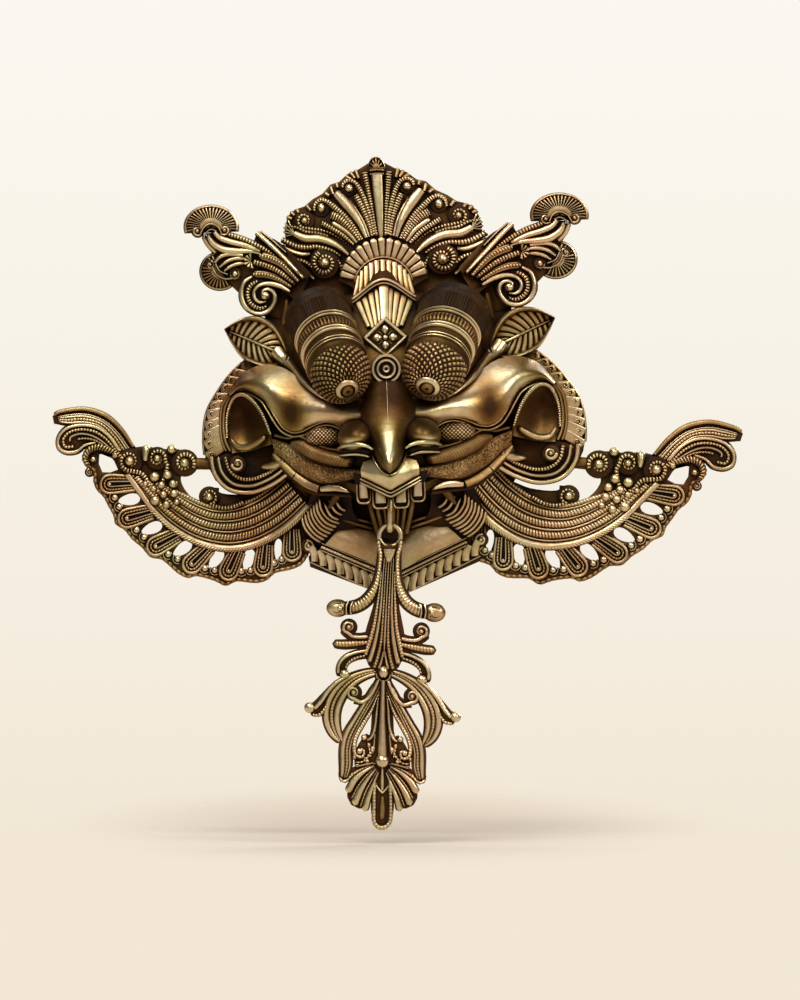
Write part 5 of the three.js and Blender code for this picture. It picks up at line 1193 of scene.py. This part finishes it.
# Drop
def drop():
    face = RING["depth"] + RING["plate"] / 2
    back = RING["depth"] - RING["plate"] / 2
    thick = RING["plate"]
    ring_line = np.array([(RING["radius"] * math.cos(a), RING["radius"] * math.sin(a), RING["depth"])
                          for a in np.linspace(0, 2 * math.pi, 48, endpoint=False)])
    loop = round_wire(ring_line, RING["wire"] / 2, closed=True)

    def at(points, lift=0.0):
        return [(p[0], p[1], face + lift) for p in points]

    def rib(points, width, height=2.2, lift=0.0, **options):
        return strand(at(points, lift), width, height, **{"bury": 1.4, "sides": 8, "dim": 0.3, **options})

    def ground(points, width, **options):
        low = 0.5
        return strand(at(points, -0.4), width, low, bury=(thick - 0.4) / low, flat=0.35, sides=7, polish=0.3,
                      shade=0.35, **options)

    # Body under the loop, its two strong strands and the skirt between them
    yoke = [rib([(7.4, -3.6), (6.8, -8), (5.8, -12), (5.7, -18), (6.2, -25), (7.4, -32), (10, -38.8), (13.6, -43.8),
                 (18, -47), (22.6, -48.8)], [3, 3.4, 3.6, 3.6, 4, 5, 6.6, 7.4, 7.8, 7.8], 3, lift=0.2, mill=2.3,
                cut=0.16, polish=0.85, slant=0.15),
            ground([(6.6, -5), (5.6, -12), (5.7, -18), (6.2, -25), (7.4, -32), (10, -38.8), (13.6, -43.8), (18, -47),
                    (23, -48.8), (29, -49.6)], [4, 5.4, 5.6, 6, 7, 8.4, 9.4, 9.6, 9.8, 9])]
    throat = rib([(0, -7.6), (0, -12), (0, -19)], [11, 8, 2.4], 2.4, lift=0.2, polish=1.0, head=1.5, tail=3, sides=10)
    skirt = [rib([(4.4, -24), (4.8, -32), (5.8, -45), (7.4, -60), (9.9, -71), (12.6, -81)],
                 [1.2, 2, 2.7, 3.4, 4.2, 3.4], 2.6, mill=PITCH, tail=3, polish=0.8, cut=0.14),
             rib([(3, -15), (3.3, -30), (3.8, -50), (5.2, -64), (7.2, -75), (10, -85.4)], [1.3, 1.9, 2.4, 2.9, 3.7, 4],
                 2.6, tail=2, polish=0.75),
             rib([(1.6, -15), (1.7, -36), (1.9, -58), (2.5, -72), (4.2, -81), (6.4, -88.8)], [1.2, 1.6, 2, 2.4, 3, 3.4],
                 2.4, mill=PITCH, tail=1.8, polish=0.55, cut=0.14)]
    spine = rib([(0, -15), (0, -36), (0, -57), (0, -74), (0, -82)], [1.4, 1.8, 1.9, 2.4, 1.4], 2.4, tail=1.2,
                polish=0.7)
    between = rib([(0.6, -77), (1.6, -83), (3.4, -89.4)], [1.4, 2.2, 3], tail=1.6, polish=0.7)
    skirt_ground = ground([(0, -6), (0, -20), (0, -36), (0, -55), (0, -70), (0, -82), (0, -90)],
                          [13, 13, 13, 18, 25, 30, 17], head=1, tail=3)
    cup = [ball((0, -90.6, face + 0.6), (3.6, 4.6, 3.8), polish=0.95),
           rib(arch((0, -92), (4.6, -4.4), (-1.6, 1.6), 9), 1.7, polish=0.5)]
    cup.append(ground([(0, -84), (0, -92), (0, -99)], [14, 13, 9], tail=2))
    # Arm heads
    head = [*[strand([(x, high, face + 0.6), (x + 1.2, -49, face + 2.2), (x + 0.6, low, face + 0.6)], 1.9, 3, head=1,
                     tail=1, polish=0.8) for x, high, low in ((22.4, -44.6, -53.2), (25.2, -44.2, -53.8))],
            ball((32, -49.6, RING["depth"] + 0.6), (7.6, 6.2, 5.6), rows=16, columns=24),
            *[strand([(x, z, face + lift) for x, z, lift in path], 1.4, 1.6, head=0.6, tail=0.6, polish=0.8)
              for path in (((30, -46.4, 2.6), (33, -45.6, 2.2), (36, -48, 1.6)),
                           ((29, -52, 2.8), (33, -53.4, 2), (36.4, -51.4, 1.4)))],
            ball((30.6, -49.6, face + 3.2), (2, 2, 1.6), rows=6, columns=10, polish=0.9)]
    upper = [curl((24, -62, face), 5.4, -80, 1.1, width=3, base=back, polish=0.8,
                  lead=[(10.4, -67.6), (17, -68.4), (21.6, -68)]),
             ground([(9, -67), (17, -68.6), (24, -67.4), (29, -63.4)], [7, 6.4, 6, 5], tail=2),
             rib([(11, -71.6), (20, -73), (28, -73.8), (33.4, -73.6)], [3, 4.4, 4.8, 4], 2, tail=2.4, mill=PITCH,
                 polish=0.5, cut=0.14),
             ground([(10, -72), (20, -73.2), (28, -74), (34.6, -73.8)], [6, 7, 7.2, 6.2], tail=3),
             rib([(11.4, -77), (19.4, -79), (26.2, -82.6), (29.8, -88), (29.4, -94.4)], [2.4, 2.8, 3, 3, 2.6], 2.4,
                 tail=1, polish=0.7),
             rib([(12.4, -80.4), (18.6, -82.4), (23.4, -86), (25.4, -90.6)], [2, 2.3, 2.3, 2], tail=1, mill=PITCH,
                 polish=0.6),
             ground([(12, -79), (19.4, -80.8), (25.4, -84.6), (28, -90), (27, -96)], [7, 7.4, 7.4, 7.6, 8], tail=3),
             ball((25.6, -93.6, face), (3.8, 3.6, 4), polish=0.9)]
    c_out = [(6, -88.6), (14.6, -90.8), (24.6, -95.4), (32, -102), (37.4, -110.4), (39.4, -118), (38.4, -127),
             (34, -134.6), (28, -138.4)]
    c_in = [(3.4, -92.4), (10, -95), (17.4, -100), (24, -108.4), (27.6, -117), (28.2, -125), (27, -132), (26, -136),
            (25.6, -139)]
    c_arm = reeds(at(c_out), at(c_in), "wmw", height=0.45, fill=0.97, count=30, head=1, tail=1, polish=0.65, bury=1.6,
                  cut=0.14, dim=0.3)
    c_ground = bed(at(c_out), at(c_in), 1, thick - 0.6)
    knob = [rib([(24, -94.8), (31, -99.6), (36.6, -106), (41.4, -113.4), (46, -118.6)], [2, 3.2, 3.4, 3.4, 3], 2.6,
                lift=0.3, polish=0.75, tail=1.4), ball((48.2, -117.2, face - 0.4), (3.8, 3.6, 3.6), rows=9, polish=0.8),
            rib([(35.4, -111.6), (38.4, -117.4), (42, -121.4), (46.4, -121.6)], [1.8, 2.6, 2.8, 2.4], tail=1, head=1,
                mill=PITCH, polish=0.6),
            ground([(33, -104), (38, -111.4), (43.4, -117.6), (49, -118.4)], [7, 9, 10.4, 9.4], tail=3.6)]
    inner = [
        curl((19.4, -105.4, face + 0.2), 5.4, -90, 1.1, width=3, base=back, polish=0.8,
             lead=[(2.8, -95.4), (5.6, -102), (9.4, -108), (14, -111.4)]),
        ground([(3, -96), (6, -102.4), (9.6, -107.8), (14, -110.4), (19, -110)], [5, 5.4, 5.6, 6, 6]),
    ]
    a_out = [(3, -95), (8.4, -102.6), (13.6, -112.3), (19.8, -122.6), (25.6, -132.4), (27.6, -141), (27.8, -151),
             (27.6, -161.4)]
    a_in = [(1.2, -98), (4, -106), (9.4, -116), (14.6, -126.5), (18.8, -136), (20.6, -143), (20.8, -154), (23.6, -162)]
    a_strand = reeds(at(a_out), at(a_in), "wmp", fill=0.97, count=30, tail=1, polish=0.65, bury=1.6, cut=0.14, dim=0.3)
    a_ground = bed(at(a_out), at(a_in), 1.3, thick - 0.6)
    sole = ground([(24, -154), (25, -160), (24.6, -164.6)], [8, 8.6, 6], tail=2)
    foot = rib([(28.4, -160.4), (26, -163.4), (22, -161.8), (19.4, -157)], [1.6, 2.2, 2, 1.4], 2, head=1, tail=1,
               polish=0.8)
    scroll = rib([(3.4, -106), (7.4, -116.4), (13, -126), (17.4, -134.4), (18.6, -141), (17.4, -146), (13.6, -147.2),
                  (12, -143.8), (14.6, -141.6)], [1.4, 2, 2.8, 3.4, 3.6, 3.4, 3.2, 2.8, 2.2], 2.6, lift=0.3, mill=1.9,
                 cut=0.16, tail=1.2, polish=0.9)
    scroll_seed = ball((15, -143.6, face + 0.6), (2.3, 2.3, 2.6), polish=0.9)
    leaf = [rib([(2.5, -103), (3.2, -114), (3.8, -123), (5, -131)], [1.2, 1.7, 1.9, 1.4], 2.4, tail=1, head=1,
                mill=PITCH, polish=0.6),
            rib([(3, -108), (4, -118), (4.8, -127), (7.4, -134.4), (11, -136.6)], [1.4, 2.2, 2.6, 2.6, 2], 2.4, tail=1,
                polish=0.8), ball((12, -134.6, face), (2.2, 2.2, 2.6), polish=0.9),
            rib([(5.4, -140), (8, -145), (13, -150.4), (18, -151)], [2.6, 2.8, 2.4, 1.8], tail=1, mill=PITCH,
                polish=0.5),
            [ball((x, z, face), (r, r * 1.2, 2.4), rows=7, columns=12, crest=0.85)
             for x, z, r in ((6.2, -142, 2.3), (10, -150.2, 2), (8.8, -139.4, 1.7), (18.4, -147.6, 1.6))],
            rib([(4.6, -151.4), (11, -152.6), (19, -152.6)], [1.4, 1.8, 1.4], 1.8, tail=0.8, polish=0.8),
            rib([(4.8, -130), (5.2, -137), (6.4, -146)], [1.2, 2, 1.6], tail=1, head=1, polish=0.7),
            rib([(7.4, -147.6), (8.6, -141), (9.6, -137.2)], [1.4, 2, 1.6], tail=1, head=1, mill=PITCH, polish=0.6),
            rib([(11.4, -150), (12.4, -146.8), (14.6, -148.6)], [1.2, 1.6, 1.2], 2, tail=0.8, head=0.8, polish=0.7),
            ground([(2.6, -106), (4.6, -118), (4, -130), (4.6, -142), (5, -152)], [5, 4.6, 7.4, 12, 13]),
            ground([(8, -133), (11, -140), (12, -147), (12, -152)], [6, 9, 13, 13])]
    rod = strand([(0, -96, face + 0.8), (0, -118, face + 1), (0, -134, face + 1), (0, -141, face + 1),
                  (0, -150.6, face + 0.8)], [3, 3.6, 4.6, 6, 7], [2.8, 3.2, 3.6, 4, 4.2], tail=3, polish=0.95, sides=10)
    rod_foot = ball((0, -149.4, face + 1.6), (4.7, 5, 4.4), rows=10, columns=18, polish=1.0)
    rod_ground = ground([(0, -96), (0, -118), (0, -134), (0, -150)], [6, 7, 9, 13])
    # Palmette
    fan_lines = [
        ([(6, -150.8), (12.4, -152.4), (18.6, -154)], [1.8, 2.2, 1.6], 0),
        ([(6, -152.4), (12.8, -154.8), (19, -158.6), (23, -162.4)], [1.4, 2.2, 2.6, 2.4], PITCH),
        ([(5.5, -152.8), (12.4, -157), (18.8, -163), (23.2, -171)], [2, 3.6, 5.4, 5.8], 0),
        ([(4.8, -153.8), (10.6, -159.4), (16, -166.4), (20.4, -174.6)], [1.2, 1.8, 2.1, 1.8], PITCH),
        ([(4.2, -154.8), (9.6, -161.4), (14.8, -169.6), (18.8, -179)], [2, 3.4, 5.4, 6], 0),
        ([(3.4, -156), (7.6, -163.4), (11.6, -171.2), (14.6, -180)], [1.2, 1.8, 2.1, 1.8], PITCH),
        ([(2.6, -157), (6, -165), (9.2, -173.4), (11.8, -183)], [1.8, 3, 4.8, 5.6], 0)]
    fan = [rib(path, width, 2.2 if mill else 3.2, mill=mill, tail=1.2 if mill else 2.8, polish=0.55 if mill else 0.8,
               cut=0.14) for path, width, mill in fan_lines]
    fan_ground = [ground([(0, -150), (8, -162), (16, -173.6), (20.6, -178.6)], [8, 14, 17, 15], tail=6),
                  ground([(2, -151), (13, -155.6), (22, -160.4)], [6, 9, 8], tail=2)]
    bow = [(5.5 * math.cos(a), -187 - 6.6 * math.sin(a)) for a in np.linspace(0.2, math.pi / 2, 6)]
    tongue = rib([(5.2, -163), (5.5, -174), (5.5, -186), *bow], 3.2, 2.6, lift=0.4, mill=2.3, cut=0.12, polish=0.85,
                 head=1)
    groove = [rib([(0, -172), (0, -180), (0, -189)], [2, 4.4, 4], 1.4, head=2, tail=2, polish=0.3, shade=0.75),
              rib([(0, -154), (0, -162), (0, -170)], [2.4, 3.4, 2.4], tail=1.4, polish=0.6),
              ground([(0, -152), (0, -172), (0, -188), (0, -195)], [10, 14.4, 15.4, 12], tail=6)]
    crossing = rib([(0, -170.6), (3, -167.4), (5.6, -163.4)], [2.2, 2, 1.6], polish=0.7, tail=0.8)
    return [loop, throat, spine, skirt_ground, cup, rod, rod_foot, rod_ground, groove,
            both(yoke, skirt, between, head, upper, c_arm, c_ground, knob, inner, a_strand, a_ground, sole, foot,
                 scroll, scroll_seed, leaf, fan, fan_ground, tongue, crossing)]


# Nodes
class Graph:
    """The nodes of a material or world."""

    def __init__(self, owner):
        owner.use_nodes = True
        self.nodes, self.links = owner.node_tree.nodes, owner.node_tree.links

    def fill(self, node, values):
        """Gives a node its settings, and its inputs numbers or other nodes' outputs."""
        for key, value in values.items():
            if isinstance(value, bpy.types.NodeSocket):
                self.links.new(value, node.inputs[key])
            elif isinstance(key, int) or key in node.inputs:
                node.inputs[key].default_value = value
            else:
                setattr(node, key, value)
        return node

    def add(self, kind, **values):
        return self.fill(self.nodes.new("ShaderNode" + kind), values)

    def math(self, operation, *values, clamp=True):
        return self.fill(self.add("Math", operation=operation, use_clamp=clamp), dict(enumerate(values))).outputs[0]

    def noise(self, place, scale, detail, roughness):
        return self.add("TexNoise", Vector=place, Scale=scale, Detail=detail, Roughness=roughness).outputs["Fac"]

    def ramp(self, value, stops):
        """A colour for each value, or a grey where a stop has one number."""
        made = self.fill(self.add("ValToRGB"), {0: value})
        elements = made.color_ramp.elements
        for i, (at, tone) in enumerate(stops):
            element = elements[i] if i < 2 else elements.new(at)
            element.position = at
            element.color = (*tone, 1) if isinstance(tone, tuple) else (tone, tone, tone, 1)
        return made.outputs[0]


# Metal
# Colours from the dark of the grooves to the rubbed ridges, by how worn the metal is
BRASS = [(0.06, (0.014, 0.005, 0.001)), (0.26, (0.058, 0.023, 0.004)), (0.48, (0.20, 0.108, 0.036)),
         (0.72, (0.44, 0.285, 0.125)), (0.98, (0.84, 0.70, 0.48))]
# Slow drift from an olive to a red tint, and its strength
DRIFT = [(0.34, (0.86, 1.0, 0.74)), (0.5, (1.0, 0.97, 0.9)), (0.66, (1.0, 0.80, 0.70))]
DRIFT_SHARE = 0.75
BARE_METAL = [(0.1, 0.2), (0.42, 1)]
ROUGHNESS = [(0.15, 0.66), (0.6, 0.42), (1.0, 0.26)]
# How open a place is to the room, within this many metres
OPEN = [(0.28, 0), (0.85, 1)]
OPEN_REACH = 0.007
# What adds to the wear: height above the grooves, clouds, polish, and less for grain
WEAR = {"crest": 0.72, "cloud": 0.7, "cloud_from": 0.36, "polish": 0.3, "grain": 0.14}

# Noises, by scale, detail and roughness, and bumps, by strength and height in metres
NOISES = {"grain": (420.0, 5.0, 0.65), "cloud": (26.0, 4.0, 0.6), "tint": (17.0, 3.0, 0.55), "ripple": (90.0, 2.0, 0.5)}
BUMPS = {"grain": {"Strength": 0.35, "Distance": 0.0004}, "ripple": {"Strength": 0.5, "Distance": 0.0012}}


def brass():
    material = bpy.data.materials.new(SLOT)
    graph = Graph(material)
    place = graph.add("TexCoord").outputs["Object"]
    crest, polish = [graph.add("Attribute", attribute_name=name).outputs["Fac"] for name in ("crest", "polish")]
    hollow = graph.add("AmbientOcclusion", samples=8, only_local=False, Distance=OPEN_REACH)
    grain, haze, tint, slow = [graph.noise(place, *NOISES[name]) for name in ("grain", "cloud", "tint", "ripple")]
    clear = graph.math("MULTIPLY", crest, graph.ramp(hollow.outputs["AO"], OPEN))
    cloud = graph.math("MULTIPLY", graph.math("SUBTRACT", haze, WEAR["cloud_from"]), WEAR["cloud"])
    worn = graph.math("ADD", graph.math("MULTIPLY", clear, WEAR["crest"]), cloud)
    rubbed = graph.math("MULTIPLY", polish, clear)
    worn = graph.math("ADD", worn, graph.math("MULTIPLY", rubbed, WEAR["polish"]))
    worn = graph.math("SUBTRACT", worn, graph.math("MULTIPLY", grain, WEAR["grain"]))
    colour = graph.add("Mix", data_type="RGBA", blend_type="MULTIPLY", Factor=DRIFT_SHARE,
                       A=graph.ramp(worn, BRASS), B=graph.ramp(tint, DRIFT))
    bright = [graph.math("MULTIPLY", value, 0.5) for value in (worn, polish)]
    fine = graph.add("Bump", Height=grain, **BUMPS["grain"])
    ripple = graph.add("Bump", Height=slow, Normal=fine.outputs["Normal"], **BUMPS["ripple"])
    graph.fill(graph.nodes["Principled BSDF"], {
        "Base Color": colour.outputs["Result"], "Metallic": graph.ramp(worn, BARE_METAL),
        "Roughness": graph.ramp(graph.math("ADD", *bright), ROUGHNESS), "Specular IOR Level": 0.2,
        "Normal": ripple.outputs["Normal"]})
    return material


METAL = brass()
# Shapes lie up to this far apart in depth, so that no two backs share a plane. Each shape takes
# the next turn, and a golden share of the way between turns keeps neighbours well apart
APART = 0.3
GOLDEN = 0.618
TURN = itertools.count()
# The first shape of a piece of the head lines the hollow, the others stay this far inside the metal
LINING = 0.2
COVER = 2.0
# Edges sharper than this many degrees stay sharp
SHARP = 50


def placed(name, data, at=(0, 0, 0), turn=(0, 0, 0)):
    thing = bpy.data.objects.new(name, data)
    thing.location = at
    thing.rotation_euler = turn
    bpy.context.collection.objects.link(thing)
    return thing


def build(name, node, parts, place):
    points, quads, tris, crest, polish, count = [], [], [], [], [], 0
    for number, shape in enumerate(gather(parts)):
        places = shape.places
        if place is head_place:
            places = clear_of_hollow(places, LINING if number == 0 else COVER)
        points.append(place(places + (0, 0, APART * (next(TURN) * GOLDEN % 1))))
        quads.append(shape.quads + count)
        tris.append(shape.tris + count)
        crest.append(shape.crest)
        polish.append(shape.polish)
        count += len(shape.places)
    mesh = bpy.data.meshes.new(name)
    mesh.from_pydata((np.vstack(points) * MM).tolist(), [], np.vstack(quads).tolist() + np.vstack(tris).tolist())
    for label, values in (("crest", crest), ("polish", polish)):
        layer = mesh.attributes.new(label, "FLOAT", "POINT")
        layer.data.foreach_set("value", np.concatenate(values).astype(np.float32))
    mesh.validate()
    mesh.shade_smooth()
    mesh.set_sharp_from_angle(angle=math.radians(SHARP))
    mesh.materials.append(METAL)
    piece = placed(name, mesh)
    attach(piece, "root")
    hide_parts(node)


build("mask_shield", "mask", [backboard(), side_flutes(), chin()], head_place)
build("mask_crown", "mask", [crown(), horns()], head_place)
build("mask_brow", "mask", [tiara(), brooch(), eye(), ears()], head_place)
build("mask_face", "mask", [dome(), cheeks(), cheek_curls(), muzzle(), nose(), mouth()], head_place)
build("mask_hook", "mask", [hook()], lambda p: np.stack([p[:, 0], -p[:, 2], p[:, 1]], 1))
right_wing = gather(wings())
build("mask_wing_right", "mask", right_wing, wing_place)
build("mask_wing_left", "mask", [s.mirrored() for s in right_wing], wing_place)
build("pendant_drop", "pendant", drop(), drop_place)


# Room, light and camera
# Backdrop tones by height of the line of sight, from low to high
SKY = [(0.2, (0.888, 0.799, 0.665)), (0.41, (0.913, 0.847, 0.745)), (0.68, (0.930, 0.896, 0.807)),
       (0.9, (0.956, 0.930, 0.871))]
SKY_SPREAD, SKY_MIDDLE = 8.0, 0.5
AMBIENT = ((1, 0.97, 0.93, 1), 0.15)
# Floor sheet in a darker tone, which the camera sees only in a soft oval below the part: a painted shadow, with only a
# little cast shadow on it
FLOOR = {"z": -0.392, "front": -3.4, "back": 1.4, "side": 2.6, "tone": (0.60, 0.53, 0.445, 1)}
SHADOW_OVAL = {"centre": (0.003, 0.36), "reach": (0.25, 0.9), "full": 0.25}
# The middle of the picture
CENTRE = (0.0094, 0.0, -0.164)
# Lamps: place, target, size, power and colour
LAMPS = {
    "front": ((-0.2, -3.2, 0.3), CENTRE, (2.4, 2.0), 4, (1, 0.97, 0.93)),
    "key": ((-0.5, -1.2, 1.3), CENTRE, (0.9, 0.5), 18, (1, 0.97, 0.93)),
    "side": ((1.3, -1.0, 0.6), CENTRE, (0.4, 0.9), 10, (1, 0.96, 0.9)),
    "top": ((0, -0.5, 2.0), (0, 0.1, -0.4), (1.4, 0.9), 11, (1, 0.98, 0.95)),
    "far": ((0, 1.3, 1.5), (0, 1.0, -0.4), (3.0, 0.8), 24, (1, 0.98, 0.95)),
    "near": ((0, -2.8, 1.4), (0, -2.3, -0.4), (3.0, 1.0), 24, (1, 0.98, 0.95)),
    "back": ((1.6, 2.2, 1.0), CENTRE, (1.2, 1.2), 45, (1, 0.98, 0.95)),
}
DISTANCE = 6.0
FRAME_HEIGHT = 0.670


def floor():
    side, z = FLOOR["side"], FLOOR["z"]
    mesh = bpy.data.meshes.new("floor")
    mesh.from_pydata([(x, y, z) for x, y in ((-side, FLOOR["front"]), (side, FLOOR["front"]), (side, FLOOR["back"]),
                                             (-side, FLOOR["back"]))], [], [(0, 1, 2, 3)])
    material = bpy.data.materials.new("painted_shadow")
    graph = Graph(material)
    # Its tone is darker than the backdrop, so the oval reads as a painted shadow
    painted_shadow = graph.fill(graph.nodes["Principled BSDF"],
                       {"Base Color": FLOOR["tone"], "Roughness": 1.0, "Specular IOR Level": 0.0})
    wide, deep_reach = SHADOW_OVAL["reach"]
    oval_map = graph.add("Mapping", Vector=graph.add("TexCoord").outputs["Object"], Scale=(1 / wide, 1 / deep_reach, 0),
                         Location=(-SHADOW_OVAL["centre"][0] / wide, -SHADOW_OVAL["centre"][1] / deep_reach, 0))
    out = graph.fill(graph.add("VectorMath", operation="LENGTH"), {0: oval_map.outputs[0]})
    fade = graph.add("MapRange", interpolation_type="SMOOTHSTEP", Value=out.outputs["Value"],
                     **{"From Min": SHADOW_OVAL["full"]})
    clear = graph.math("MULTIPLY", fade.outputs[0], graph.add("LightPath").outputs["Is Camera Ray"], clamp=False)
    mix = graph.fill(graph.add("MixShader"),
                     {0: clear, 1: painted_shadow.outputs[0], 2: graph.add("BsdfTransparent").outputs[0]})
    graph.fill(graph.nodes["Material Output"], {"Surface": mix.outputs[0]})
    mesh.materials.append(material)
    sheet = placed("floor", mesh)


def sky():
    """A pale backdrop behind everything, and a dimmer even light from all round."""
    world = bpy.data.worlds.new("room")
    graph = Graph(world)
    even_light = graph.fill(graph.nodes["Background"], dict(enumerate(AMBIENT)))
    split = graph.fill(graph.add("SeparateXYZ"), {0: graph.add("TexCoord").outputs["Generated"]})
    tone = graph.ramp(graph.math("MULTIPLY_ADD", split.outputs["Z"], SKY_SPREAD, SKY_MIDDLE, clamp=False), SKY)
    backdrop = graph.fill(graph.add("Background"), {0: tone})
    mix = graph.fill(graph.add("MixShader"), {0: graph.add("LightPath").outputs["Is Camera Ray"],
                                              1: even_light.outputs[0], 2: backdrop.outputs[0]})
    graph.fill(graph.nodes["World Output"], {0: mix.outputs[0]})
    bpy.context.scene.world = world


def lamps():
    for name, (at, target, size, energy, colour) in LAMPS.items():
        light = bpy.data.lights.new(name, "AREA")
        light.shape = "RECTANGLE"
        light.size, light.size_y = size
        light.energy = energy
        light.color = colour
        placed(name, light, at, (Vector(target) - Vector(at)).to_track_quat("-Z", "Y").to_euler())


def camera():
    """Looks square at the wall, as the photo does."""
    view = bpy.data.cameras.new("camera")
    view.sensor_fit = "VERTICAL"
    view.sensor_height = 24
    view.lens = view.sensor_height * DISTANCE / FRAME_HEIGHT
    bpy.context.scene.camera = placed("camera", view, (CENTRE[0], -DISTANCE, CENTRE[2]), (math.pi / 2, 0, 0))


floor()
sky()
lamps()
camera()
bpy.context.scene.view_settings.view_transform = "Standard"
